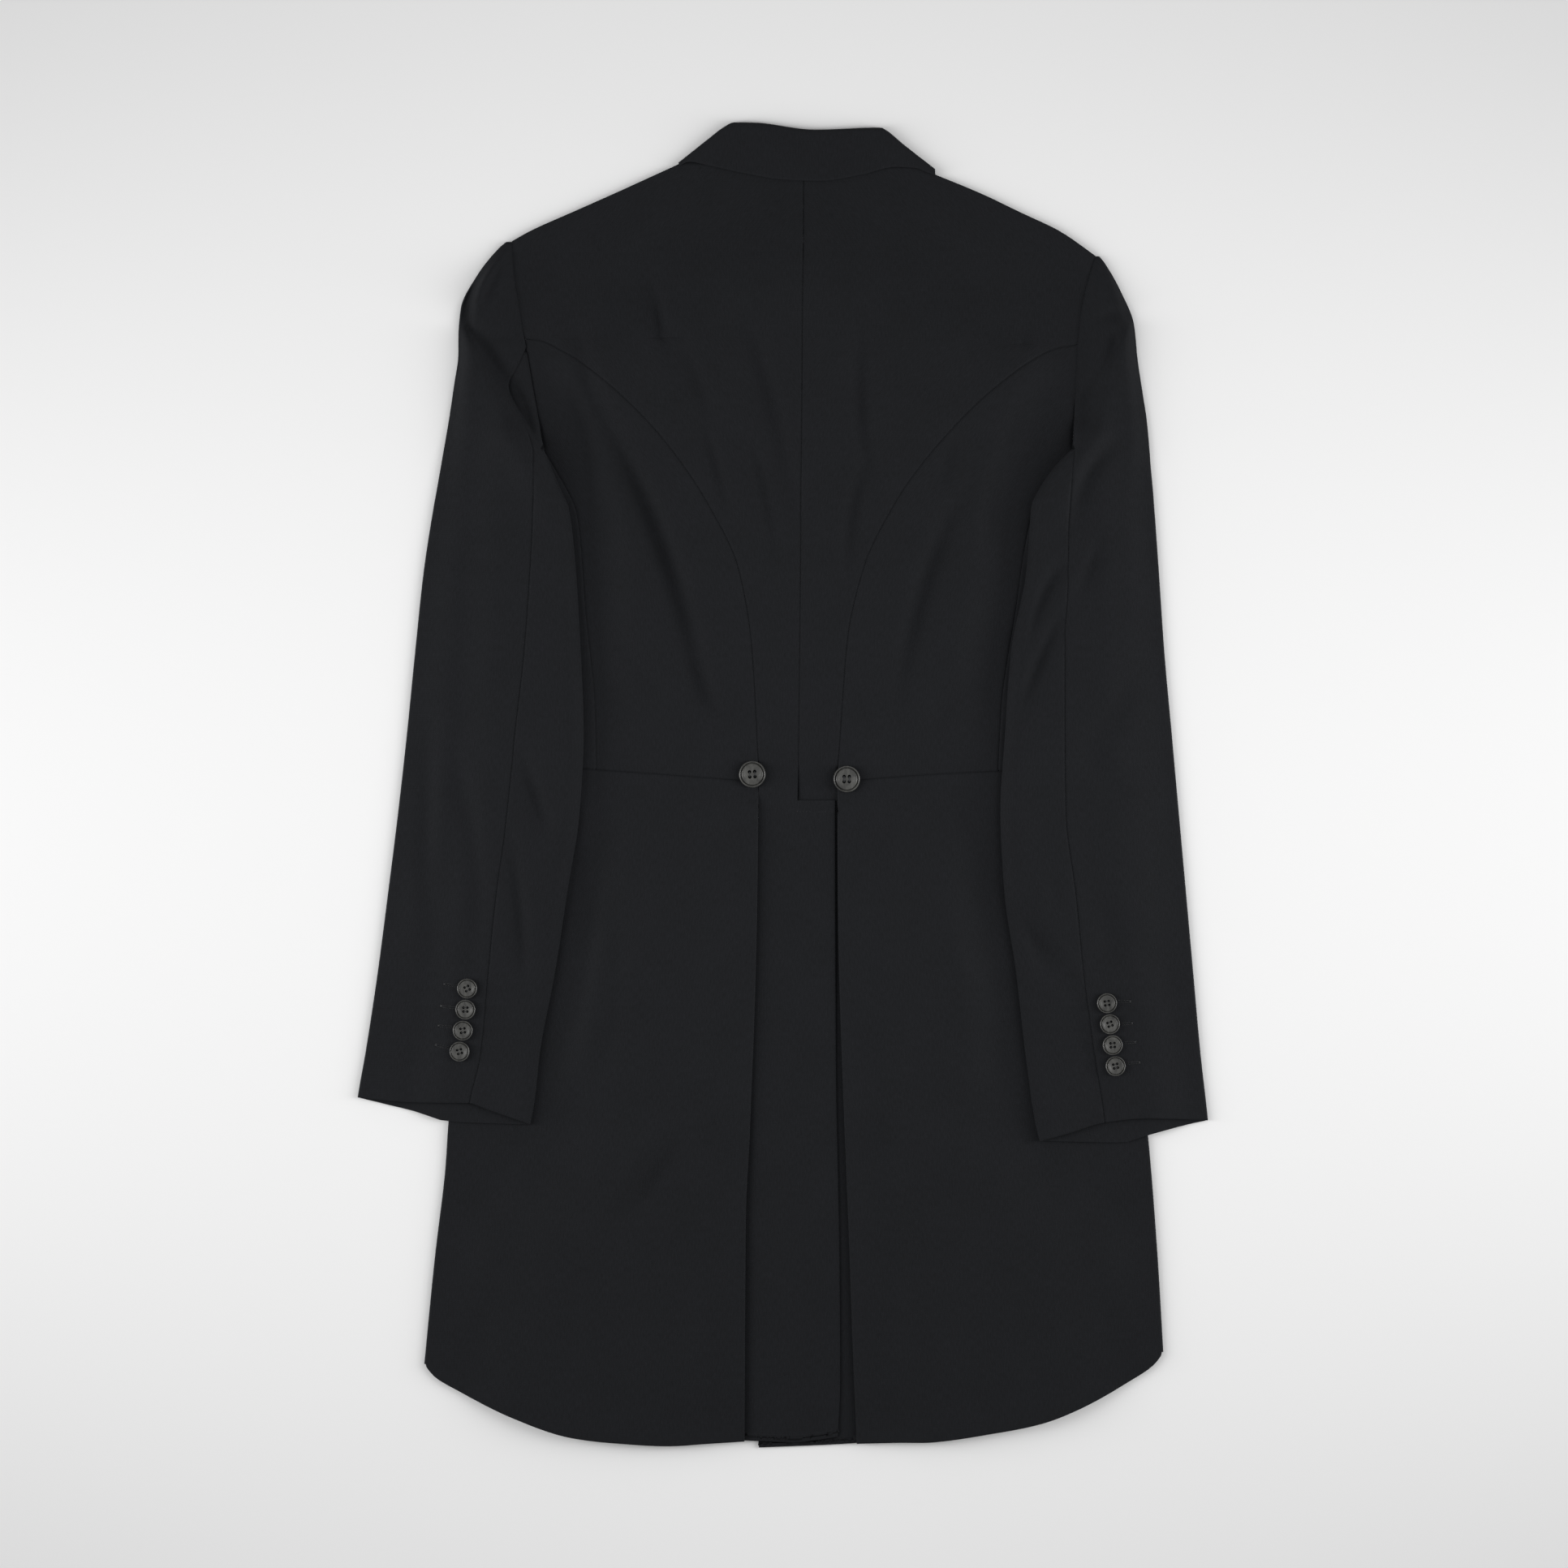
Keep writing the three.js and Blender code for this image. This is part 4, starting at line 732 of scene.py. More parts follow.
def sheet_of(name, places, keep=None, faces_down=False, turned_down=False):
    """A piece of cloth on a net of places, in millimetres, without the faces that aren't kept."""
    rows, columns = places.shape[:2]
    work = bmesh.new()
    bmesh.ops.create_grid(work, x_segments=columns - 1, y_segments=rows - 1, size=1)
    grain = grain_map(places, turned_down).reshape(-1, 2)
    spots = places.reshape(-1, 3) * MM
    for vert in work.verts:
        vert.co = spots[vert.index]
    layer = work.loops.layers.uv.new("grain")
    dropped = []
    cut = []
    for face in work.faces:
        row, column = divmod(min(vert.index for vert in face.verts), columns)
        if keep is not None and not keep[row, column]:
            dropped.append(face)
        else:
            cut.extend(vert.index for vert in face.verts)
        for loop in face.loops:
            loop[layer].uv = grain[loop.vert.index]
        face.smooth = True
    bmesh.ops.delete(work, geom=dropped, context="FACES")
    work.normal_update()
    high = max(work.faces, key=lambda face: face.calc_center_median().z)
    if (high.normal.z < 0) != faces_down:
        bmesh.ops.reverse_faces(work, faces=work.faces)
    area = sum(face.calc_area() for face in work.faces)
    piece = as_object(name, work)
    thickness = piece.modifiers.new("wall", "SOLIDIFY")
    thickness.thickness = WALL * MM
    thickness.offset = -1
    cut_size = np.ptp(grain[cut], axis=0)
    piece["cut"] = [*cut_size, area]
    cloth_pieces.append(piece)
    print(name, len(piece.data.polygons), "faces, cut", cut_size.round(3), "m,", round(area, 4), "m2")
    return piece


# %% [markdown]
# ## Back and tails
#
# Each back panel is cut in one with its tail. It runs from the shoulder down between the centre
# seam and the outline, the armhole, the princess seam and the pleat. Below the waist a strip of it
# is hidden under the skirt, and a strip goes past the centre: the left tail's laps over at the
# vent, and the right tail's is the underlap.

# %% Back panels
HEAD_DROPS = [0.35, 0.8, 1.5, 2.6, 4, 5.8, 8, 10.5, 13.2, 16]
head_rows = {
    side: np.concatenate([
        PRINCESS_TOP_Y[side] - np.array(HEAD_DROPS),
        heights_down(PRINCESS_TOP_Y[side] - HEAD_DROPS[-1], UNDERARM_Y)[1:],
    ]) for side in SIDES
}
flank_rows = heights_down(UNDERARM_Y, LAPEL_FOOT_Y)[1:]
UNDERLAP_EDGE_X = -18.3
EDGE_ROLL = 0.6
DRAPE_FROM_Y = 10


def back_panel(side):
    out = OUT[side]
    rows = np.concatenate([
        heights_down(BACK_TOP_Y[side], SHOULDER_Y[side], PRINCESS_TOP_Y[side]),
        head_rows[side], flank_rows,
        heights_down(LAPEL_FOOT_Y, PLEAT_SEAM_Y, VENT_TOP_Y)[1:],
        VENT_TOP_Y - FINE[1:],
        heights_down(VENT_TOP_Y - FINE[-1], UNDERLAP_TOP_Y, PLEAT_TOP_Y, TAIL_FOOT_Y + 3)[1:],
        TAIL_FOOT_Y + FINE[::-1],
    ])[:, None]

    def edge_at(y):
        edge = np.where(y > SHOULDER_Y[side], shoulder[side](y), armhole[side](y))
        edge = np.where(y > PRINCESS_TOP_Y[side] - 0.01, edge, princess[side](y))
        below = pleat[side](y) - out * 2 * fall_off(PLEAT_TOP_Y - 9, PLEAT_TOP_Y + 3, y)
        return np.where(y > PLEAT_SEAM_Y, edge, below)

    hidden = np.array([0, 1 / 3, 2 / 3])
    panel = shares(120, COLUMN_STEP)
    lap = shares(28, COLUMN_STEP)[1:]
    lap_edge = vent_edge(rows) if side == "left" else UNDERLAP_EDGE_X
    edge = edge_at(rows)
    x = np.concatenate([
        mix(edge + out * PLEAT_DEPTH, edge, hidden),
        mix(edge, centre(rows), panel),
        mix(centre(rows), lap_edge, lap),
    ], axis=1)
    drop = smooth(0, 1, np.clip((rows - DRAPE_FROM_Y) / (TAIL_FOOT_Y - DRAPE_FROM_Y), 0, 1))
    y = rows + (tail_hem[side](x) - TAIL_FOOT_Y) * drop
    z = tail_underside(side, x, y) + WALL - seam_ditch(side, x, y)
    hem_roll = ditch(np.abs(y - tail_hem[side](x)))
    vent_roll = np.where(y < VENT_TOP_Y + 1, ditch(np.abs(x - vent_edge(y))), 0)
    z = z - (hem_roll + vent_roll) * EDGE_ROLL
    cells = np.arange(x.shape[1] - 1)
    lap_top = VENT_TOP_Y if side == "left" else UNDERLAP_TOP_Y
    keep = np.ones((len(rows) - 1, len(cells)), bool)
    keep[:, cells < len(hidden)] = rows[:-1] <= PLEAT_TOP_Y + 2
    keep[:, cells >= len(hidden) + len(panel) - 1] = rows[:-1] <= lap_top + 0.01
    return sheet_of(f"cloth_back_{side}", net(x, y, z), keep)


backs = {side: back_panel(side) for side in SIDES}

# %% [markdown]
# ## Side bodies
#
# The side body fills the curve between the princess seam and the side seam, and ends at the waist
# seam. Its rows are level, and the last ones lean over until they follow the waist.

# %% Side bodies
to_waist = shares(30, ROW_STEP, fine_start=False)[1:][:, None]


def flank_seam(side, y):
    """The armhole, and below it the side seam."""
    return np.where(y > UNDERARM_Y, armhole[side](y), side_seam[side](y))


def side_body(side):
    across = shares(110, COLUMN_STEP)
    level = np.concatenate([head_rows[side], flank_rows])[:, None]

    def x_at(y):
        return mix(princess[side](y), flank_seam(side, y), across)

    low_x, low_y = settle(to_waist, lambda x: LAPEL_FOOT_Y + 0 * x, waist[side], x_at)
    x = np.concatenate([x_at(level), low_x])
    y = np.concatenate([level + 0 * across, low_y])
    z = back_underside(x, y) + WALL - seam_ditch(side, x, y)
    return sheet_of(f"cloth_side_body_{side}", net(x, y, z))


for side in SIDES:
    side_body(side)

# %% [markdown]
# ## Foreparts and lapels
#
# The foreparts lie under the coat. A narrow strip of each comes round the side fold to the side
# seam on top. The lapel is a piece of its own, flat beside the forepart, from its edge to the
# line that it rolls over at.

# %% Foreparts
UNDER_STEP = 9
STRIP_TOP_Y = 258
LEAN_FROM_Y = LAPEL_FOOT_Y - 6
ARMHOLE_INSET = 1.5
LAPEL_PEAK_Y = {"left": 405, "right": 393}


def chest_rows(side):
    return heights_down(NECK_Y, SHOULDER_Y[side], LAPEL_PEAK_Y[side], STRIP_TOP_Y + 2, STRIP_TOP_Y,
                        UNDERARM_Y + 1, UNDERARM_Y, LAPEL_FOOT_Y, step=5)


def forepart(side):
    out = OUT[side]
    radius = PAIR / 2
    strip = shares(50, 5)
    under = shares(150, UNDER_STEP, fine_start=False)
    level = np.concatenate([chest_rows(side), [LEAN_FROM_Y]])[:, None]

    def outline(y):
        at_armhole = armhole[side](y) - out * ARMHOLE_INSET
        chest = np.where(y > SHOULDER_Y[side], shoulder[side](y), at_armhole)
        return np.where(y > STRIP_TOP_Y + 1, chest, side_fold[side](y) - out * radius)

    def front(y):
        reach = np.where(y < LAPEL_FOOT_Y - 2, SEAM_GAP, lapel_edge(y) + SEAM_GAP)
        return centre(y) + out * reach

    t = shares(26, 5, fine_start=False)[1:][:, None]

    def block(x_at):
        low_x, low_y = settle(t, lambda x: LEAN_FROM_Y + 0 * x, waist[side], x_at)
        return np.concatenate([x_at(level), low_x]), np.concatenate([level + 0 * low_x[:1], low_y])

    x, y = block(lambda at: mix(flank_seam(side, at), outline(at), strip))
    seams = SIDE_DITCH * ditch(away_from(side_seam[side], x, y))
    top = net(x, y, back_underside(x, y) + WALL - seams - ditch(away_below(waist[side], x, y)))
    _, y = block(lambda at: outline(at) + 0 * FOLD_ROUND)
    turned = fold_round(outline(y) + out * radius, out, y, 0, PAIR, FOLD_ROUND)
    x, y = block(lambda at: mix(outline(at), front(at), under))
    places = np.concatenate([top, turned, net(x, y, 0)], axis=1)
    keep = every_cell(places)
    above_strip = np.concatenate([level[:, 0], LAPEL_FOOT_Y + 0 * t[:, 0]])[:-1] > STRIP_TOP_Y + 1
    keep[above_strip, :len(strip) + len(FOLD_ROUND)] = False
    return sheet_of(f"cloth_forepart_{side}", places, keep)


for side in SIDES:
    forepart(side)


# %% Lapels
def lapel(side):
    rows = chest_rows(side)[:, None]
    x = centre(rows) + OUT[side] * mix(lapel_edge(rows), roll_line(rows), shares(60, UNDER_STEP))
    return sheet_of(f"cloth_lapel_{side}", net(x, rows, 0), faces_down=True)


for side in SIDES:
    lapel(side)

# %% [markdown]
# ## Skirts
#
# A skirt is one sheet that goes round both ways. From its hidden return it turns over at the pleat
# into the part that is seen, crosses to the side fold, turns under there and runs back to the
# cutaway front edge on the floor. It hangs from the waist seam, so its first rows follow the waist
# and its last ones the hem.


# %% The pleat's side of a skirt
PLEAT_RADIUS = FOLDED_PLEAT / 2
PLEAT_TURN = (PLEAT_TOP_Y - 4, PLEAT_TOP_Y + 12)
HIDDEN_TOP_Y, TURNED_TOP_Y = PLEAT_TOP_Y + 2, PLEAT_TOP_Y + 10
FLAT_PLEAT_DROP = 1.2
skirt_rows = shares(490, ROW_STEP)[:, None]


def turned_over(y):
    """The pleat's fold grows out of the flat cloth over its first rows."""
    return fall_off(*PLEAT_TURN, y)


def pleat_return(side, hidden):
    x, y = settle(skirt_rows, waist[side], hem[side],
                  lambda at: pleat[side](at) + OUT[side] * mix(PLEAT_DEPTH, PLEAT_RADIUS, hidden))
    return net(x, y, skirt_underside(side, x, y) + WALL - FOLDED_PLEAT)


def pleat_round(side):
    _, y = settle(skirt_rows, waist[side], hem[side], lambda at: pleat[side](at) + 0 * FOLD_ROUND)
    top = skirt_underside(side, pleat[side](y) + OUT[side] * PLEAT_RADIUS, y) + WALL
    top = top - (1 - turned_over(y)) * FLAT_PLEAT_DROP
    return fold_round(pleat[side](y), -OUT[side], y, top - FOLDED_PLEAT, top, 1 - FOLD_ROUND)


# %% The seen and the lower part of a skirt
HEM_ROLL = 0.5


def skirt_seen(side):
    def x_at(y):
        begin = pleat[side](y) + OUT[side] * PLEAT_RADIUS * turned_over(y)
        return mix(begin, side_fold[side](y) - OUT[side] * PAIR / 2, shares(230, COLUMN_STEP))

    x, y = settle(skirt_rows, waist[side], hem[side], x_at)
    z = skirt_underside(side, x, y) + WALL - ditch(away_below(waist[side], x, y))
    above = np.where(y > PLEAT_TOP_Y, ditch(away_from(pleat[side], x, y)), 0)
    return net(x, y, z - above - HEM_ROLL * ditch(away_below(hem[side], x, y)))


def skirt_below(side):
    """The round of the side fold, and the cloth that runs back from it on the floor."""
    def corner(x):
        return FRONT_CORNER_Y[side] + 0 * x

    def x_at(y):
        front = np.maximum(cutaway(y), SEAM_GAP)
        edge = centre(np.maximum(y, TAILS_APART_Y)) + OUT[side] * front
        start = side_fold[side](y) - OUT[side] * PAIR / 2
        return mix(start, edge, shares(150, UNDER_STEP, fine_start=False))

    _, y = settle(skirt_rows, waist[side], corner, lambda at: side_fold[side](at) + 0 * FOLD_ROUND)
    side_round = fold_round(side_fold[side](y), OUT[side], y, 0, PAIR, FOLD_ROUND)
    x, y = settle(skirt_rows, waist[side], corner, x_at)
    return [side_round, net(x, y, 0)]


# %% Skirts
def skirt(side):
    hidden = np.linspace(0, 1, 5)
    places = np.concatenate([pleat_return(side, hidden), pleat_round(side), skirt_seen(side),
                             *skirt_below(side)], axis=1)
    keep = every_cell(places)
    row_y = places[:-1, :1, 1]
    keep[:, :len(hidden)] = row_y <= HIDDEN_TOP_Y
    keep[:, len(hidden):len(hidden) + len(FOLD_ROUND)] = row_y <= TURNED_TOP_Y
    return sheet_of(f"cloth_skirt_{side}", places, keep)


for side in SIDES:
    skirt(side)

# %% [markdown]
# ## Sleeves
#
# A tailored sleeve has two pieces: the top sleeve, which goes round the outer fold to the forearm
# seam below, and the narrower undersleeve, which goes round the inner fold to meet it. On top they
# meet at the hindarm seam. The rows are level down to the elbow and then lean over, until the last
# one follows the cuff's edge.

# %% Rows of a sleeve
ELBOW_Y = 58
CUFF_DROP = 300
lean = shares(CUFF_DROP, ROW_STEP, fine_start=False)[1:][:, None]


def sleeve_block(level, end, x_at):
    low_x, low_y = settle(lean, lambda x: ELBOW_Y + 0 * x, end, x_at)
    level = level[:, None]
    return np.concatenate([x_at(level), low_x]), np.concatenate([level + 0 * low_x[:1], low_y])


def sleeve_rows(side, top):
    head = heights_down(PRINCESS_TOP_Y[side], SLEEVE_JOIN_Y, UNDERARM_Y, ELBOW_Y)
    if top > PRINCESS_TOP_Y[side]:
        return np.concatenate([heights_down(top, PRINCESS_TOP_Y[side])[:-1], head])
    return np.concatenate([[top], head[head < top - 1]])


# %% The parts of a sleeve's piece
CUFF_ROLL = 0.5


def sleeve_skin(side, x, y):
    """The top of a sleeve with the ditch of its hindarm seam, and its armhole seam above."""
    seam = ditch(away_from(hindarm[side], x, y))
    head = armhole_ditch(side, x, y)
    cuff = CUFF_ROLL * ditch(away_below(cuff_top[side], x, y))
    return sleeve_top(side, x, y) - np.maximum(seam, head) - cuff


def forearm_seam(side, y):
    return mix(inner[side](y), outer[side](y), FOREARM_SEAM)


def sleeve_net(side, level, across, under, fold, facing, crown, edge, forearm):
    """From the hindarm seam over the top, round a fold and back below to the forearm seam."""
    x, y = sleeve_block(level, cuff_top[side], lambda at: mix(hindarm[side](at), edge(at), across))
    seen = net(x, y, sleeve_skin(side, x, y))
    _, y = sleeve_block(level, cuff_top[side], lambda at: fold(at) + 0 * SLEEVE_ROUND)
    turned = fold_round(fold(y), facing, y, sleeve_bed(side, fold(y), y), crown(y), SLEEVE_ROUND)
    x, y = sleeve_block(level, cuff_under[side], lambda at: mix(edge(at), forearm(at), under))
    return np.concatenate([seen, turned, net(x, y, sleeve_bed(side, x, y))], axis=1)


# %% Top sleeves
def top_sleeve(side):
    level = sleeve_rows(side, SLEEVE_HEAD[side]["y"][0])
    across = shares(70, COLUMN_STEP, fine_end=False)
    under = shares(40, UNDER_STEP / 2, fine_start=False)

    def crown(y):
        return sleeve_top(side, outer[side](y), y)

    def edge(y):
        radius = (crown(y) - sleeve_bed(side, outer[side](y), y)) / 2
        return outer[side](y) - OUT[side] * radius

    def forearm(y):
        return np.where(y > SLEEVE_JOIN_Y, armhole[side](y), forearm_seam(side, y))

    places = sleeve_net(side, level, across, under, outer[side], OUT[side], crown, edge, forearm)
    return sheet_of(f"cloth_topsleeve_{side}", places)


for side in SIDES:
    top_sleeve(side)


# %% Undersleeves
def under_sleeve(side):
    level = sleeve_rows(side, HINDARM_HEAD[side]["y"][0] - 3)
    across = shares(45, COLUMN_STEP, fine_end=False)
    under = shares(30, UNDER_STEP / 2, fine_start=False)

    def crown(y):
        return sleeve_bed(side, inner[side](y), y) + PAIR

    def edge(y):
        return inner[side](y) + OUT[side] * np.where(y > SLEEVE_JOIN_Y, 0, PAIR / 2)

    places = sleeve_net(side, level, across, under, inner[side], -OUT[side], crown, edge,
                        lambda y: forearm_seam(side, y))
    heights = np.concatenate([level, ELBOW_Y + 0 * lean[:, 0]])[:-1]
    keep = every_cell(places)
    keep[heights > SLEEVE_JOIN_Y, len(across) - 1:] = False
    return sheet_of(f"cloth_undersleeve_{side}", places, keep)


for side in SIDES:
    under_sleeve(side)

# %% [markdown]
# ## Collar
#
# The collar is one sheet too: the fall, which shows, turns over at the crest into the stand, which
# goes down inside to the neck seam. Its rows run across the coat, from the fall's edge upwards.


# %% Collar
def collar():
    first, last = COLLAR_EDGE["x"][0], COLLAR_EDGE["x"][-1]
    x = mix(first, last, shares(last - first, COLLAR_STEP))[None, :]
    crest = np.maximum(collar_crest(x), collar_edge(x) + 3)
    rise = COLLAR_RISE * smooth(4, 24, crest - collar_edge(x))
    top = PAIR + LAYER + rise
    bottom = BACK_BED - WALL
    radius = (top - bottom) / 2
    middle = crest - radius
    t = shares(38, COLLAR_STEP, fine_end=False)[:, None]
    y = mix(collar_edge(x), middle, t)
    roll = COLLAR_ROLL * ditch(y - collar_edge(x))
    fall = net(x, y, mix(PAIR + LAYER, top, smooth(0, 1, t)) - roll)
    angle = np.pi * (0.5 - SLEEVE_ROUND[:, None])
    turned = net(x, middle + radius * np.cos(angle), bottom + radius * (1 + np.sin(angle)))
    foot = np.minimum(NECK_Y + SEAM_GAP, middle - SEAM_GAP)
    stand = net(x, mix(middle, foot, np.linspace(0, 1, 8)[:, None]), bottom)
    return sheet_of("cloth_collar", np.concatenate([fall, turned, stand]), turned_down=True)


collar()

# %% [markdown]
# ## Buttons
#
# A horn button is turned on a lathe: a flat foot, a rounded rim, a fine groove inside it and a
# dished middle, then four drilled holes. So its section is spun round here too, and the holes are
# cut with a Boolean, which is applied. Each copy goes where its solid is, turned as it was sewn.

# %% The section of a button, in shares of its radius and its thickness
BUTTON_SECTION = [
    (0, 0), (0.8, 0), (0.92, 0.1), (0.985, 0.36), (1, 0.6), (0.985, 0.85), (0.955, 0.98), (0.93, 1),
    (0.905, 0.96), (0.89, 0.8), (0.88, 0.55), (0.845, 0.5), (0.81, 0.55), (0.8, 0.8), (0.78, 0.9),
    (0.74, 0.93), (0.66, 0.88), (0.54, 0.77), (0.4, 0.68), (0.24, 0.64), (0.1, 0.63), (0, 0.63),
]
BUTTON_TURNS = {
    "waist_button_left": 4, "waist_button_right": 0,
    "cuff_button_left_1": 25, "cuff_button_left_2": 0,
    "cuff_button_left_3": 8, "cuff_button_left_4": 15,
    "cuff_button_right_1": 8, "cuff_button_right_2": 20,
    "cuff_button_right_3": 5, "cuff_button_right_4": 12,
}
BUTTON_RADIUS = {"waist": 10, "cuff": 7.5}
HOLE_AWAY, HOLE_RADIUS, DISH_LEVEL = 0.195, 0.13, 0.6


# %% Turning and drilling one
def turned_button(radius, thickness):
    """A button on the floor at the origin, in metres."""
    work = bmesh.new()
    section = [work.verts.new((out * radius, 0, up * thickness)) for out, up in BUTTON_SECTION]
    edges = [work.edges.new(pair) for pair in zip(section, section[1:])]
    bmesh.ops.spin(work, geom=section + edges, cent=(0, 0, 0), axis=(0, 0, 1),
                   angle=2 * math.pi, steps=48, use_merge=True)
    bmesh.ops.remove_doubles(work, verts=work.verts, dist=radius * 1e-3)
    bmesh.ops.recalc_face_normals(work, faces=work.faces)
    return work


def drills(radius, thickness):
    work = bmesh.new()
    for across in (-1, 1):
        for along in (-1, 1):
            place = Matrix.Translation((across * HOLE_AWAY * radius, along * HOLE_AWAY * radius, 0))
            bmesh.ops.create_cone(work, cap_ends=True, segments=20, radius1=HOLE_RADIUS * radius,
                                  radius2=HOLE_RADIUS * radius, depth=3 * thickness, matrix=place)
    return work


def drilled_mesh(kind, radius, thickness):
    blank = as_object(f"blank_{kind}", turned_button(radius, thickness))
    cutter = as_object(f"drills_{kind}", drills(radius, thickness))
    drill = blank.modifiers.new("drill", "BOOLEAN")
    drill.operation, drill.object, drill.solver = "DIFFERENCE", cutter, "EXACT"
    done = bpy.data.meshes.new_from_object(blank.evaluated_get(bpy.context.evaluated_depsgraph_get()))
    for used in (blank, cutter):
        bpy.data.objects.remove(used)
    done.shade_smooth()
    done.set_sharp_from_angle(angle=math.radians(48))
    return done


# %% Each button in its place
def button_place(node):
    low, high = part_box(node)
    middle = (low + high) / 2
    turn = Matrix.Rotation(math.radians(BUTTON_TURNS[node]), 4, "Z")
    return Matrix.Translation((middle.x, middle.y, low.z)) @ turn, high.z - low.z


def button_radius(node):
    return BUTTON_RADIUS[node.split("_")[0]] * MM


drilled, buttons = {}, []
for node in BUTTON_TURNS:
    place, thickness = button_place(node)
    kind = node.split("_")[0]
    if kind not in drilled:
        drilled[kind] = drilled_mesh(kind, button_radius(node), thickness)
    mesh = drilled[kind].copy()
    mesh.transform(place)
    button = in_scene(f"horn_{node}", mesh)
    buttons.append((button, node))
    print(button.name, len(mesh.polygons), "faces, foot at", round(place.translation.z / MM, 2), "mm")

# %% [markdown]
# ## Sewing
#
# Three kinds of stitch show. Two bars of black thread, doubled on the waist buttons, hold each
# button through its holes. Each cuff button has a worked buttonhole beside it: a line of small
# stitches on both sides of the slit, with a bar across its outer end. A broken row of pick stitches
# holds the top of the vent. A bar over a button is half a ring of thread, spun from a small circle
# and pressed low, and every other stitch is one small ball drawn out to its length, which is all
# that shows of a thread that dives into the cloth.


# %% One stitch, and a row of them
def stitch(work, x, y, z, turn, length, width=0.4, height=0.3):
    place = Matrix.Translation((x * MM, y * MM, z * MM)) @ Matrix.Rotation(turn, 4, "Z")
    size = Matrix.Diagonal((length * MM, width * MM, height * MM, 1))
    bmesh.ops.create_icosphere(work, subdivisions=1, radius=0.5, matrix=place @ size)


def along_line(start, end, step):
    """Even spots from start to end, and the direction of the line."""
    (ax, ay), (bx, by) = start, end
    run = math.hypot(bx - ax, by - ay)
    count = max(1, round(run / step))
    spots = [(mix(ax, bx, i / count), mix(ay, by, i / count)) for i in range(count + 1)]
    return spots, math.atan2(by - ay, bx - ax)


def sewing_object(name, work):
    for face in work.faces:
        face.smooth = True
    made = as_object(name, work)
    print(name, len(made.data.polygons), "faces")
    return made


# %% Bars of thread on the buttons
THREAD_RADIUS, THICK_THREAD_RADIUS = 0.17, 0.3
BAR_HEIGHT, STRANDS_APART = 0.34, 0.9


def half_ring(work, radius, thread, place):
    """Half a ring of thread, spun from a small circle and then pressed low and put in its place."""
    circle = bmesh.ops.create_circle(work, segments=8, radius=thread,
                                     matrix=Matrix.Translation((radius, 0, 0)))["verts"]
    edges = list(dict.fromkeys(edge for vert in circle for edge in vert.link_edges))
    bmesh.ops.spin(work, geom=circle + edges, cent=(0, 0, 0), axis=(0, -1, 0), angle=math.pi, steps=10)
    verts = [vert for vert in work.verts if not vert.tag]
    bmesh.ops.transform(work, matrix=place @ Matrix.Diagonal((1, 1, BAR_HEIGHT, 1)), verts=verts)
    for vert in verts:
        vert.tag = True


def thread_bars():
    work = bmesh.new()
    for node in BUTTON_TURNS:
        place, thickness = button_place(node)
        on_waist = node.startswith("waist")
        turn = Matrix.Rotation(math.pi / 2 if on_waist else 0, 4, "Z")
        half = HOLE_AWAY * button_radius(node)
        thread = (THICK_THREAD_RADIUS if node == "waist_button_right" else THREAD_RADIUS) * MM
        for row in (-1, 1):
            for beside in ((-1, 1) if on_waist else (0,)):
                across = row * half + beside * thread * STRANDS_APART
                shift = Matrix.Translation((0, across, DISH_LEVEL * thickness))
                half_ring(work, half, thread, place @ turn @ shift)
    bmesh.ops.recalc_face_normals(work, faces=work.faces)
    return sewing_object("button_threads", work)


button_threads = thread_bars()

# %% Buttonholes, from beside the button to the bar at the outer end
BUTTONHOLES = {
    "left": [((-244, -150.4), (-253.2, -149.1)), ((-245.8, -166.8), (-255.6, -165.6)),
             ((-248.3, -181.2), (-257.4, -180.3)), ((-250.7, -196.7), (-259.6, -194.9))],
    "right": [((250.7, -161.9), (259.3, -161.9)), ((253.8, -179), (260.6, -178.4)),
              ((255.6, -193), (262.9, -192.5)), ((258, -208.3), (266, -207.7))],
}
PURL_STEP, PURL_LENGTH, PURL_LIFT, SLIT = 0.55, 1, 0.05, 0.5
BAR_LENGTH, BAR_THREAD, BAR_LIFT, BAR_THREADS_AT = 3.4, 0.5, 0.1, (0.3, 0.75, 1.2)


def beyond_spot(spot, direction, away):
    return spot[0] + away * math.cos(direction), spot[1] + away * math.sin(direction)


def height_at(layer, side, x, y):
    return float(layer(side, np.array(x), np.array(y)))


def buttonholes(side):
    work = bmesh.new()
    for start, end in BUTTONHOLES[side]:
        spots, direction = along_line(start, end, PURL_STEP)
        across = direction + math.pi / 2
        away = PURL_LENGTH / 2 + SLIT / 2
        for spot in spots:
            for beside in (-1, 1):
                x, y = beyond_spot(spot, across, beside * away)
                top = height_at(sleeve_top, side, x, y) + PURL_LIFT
                stitch(work, x, y, top, across, PURL_LENGTH)
        for beyond in BAR_THREADS_AT:
            x, y = beyond_spot(end, direction, beyond)
            top = height_at(sleeve_top, side, x, y) + BAR_LIFT
            stitch(work, x, y, top, across, BAR_LENGTH, BAR_THREAD, BAR_THREAD)
    return sewing_object(f"buttonholes_{side}", work)


worked_holes = {side: buttonholes(side) for side in SIDES}

# %% Pick stitches at the top of the vent
PICK_ROWS = [((10.4, -19.7), (20, -19.8)), ((27, -19.9), (37, -20))]
PICK_STEP, PICK_LENGTH, PICK_THREAD, PICK_SUNK = 2.4, 1.5, 0.35, 0.08


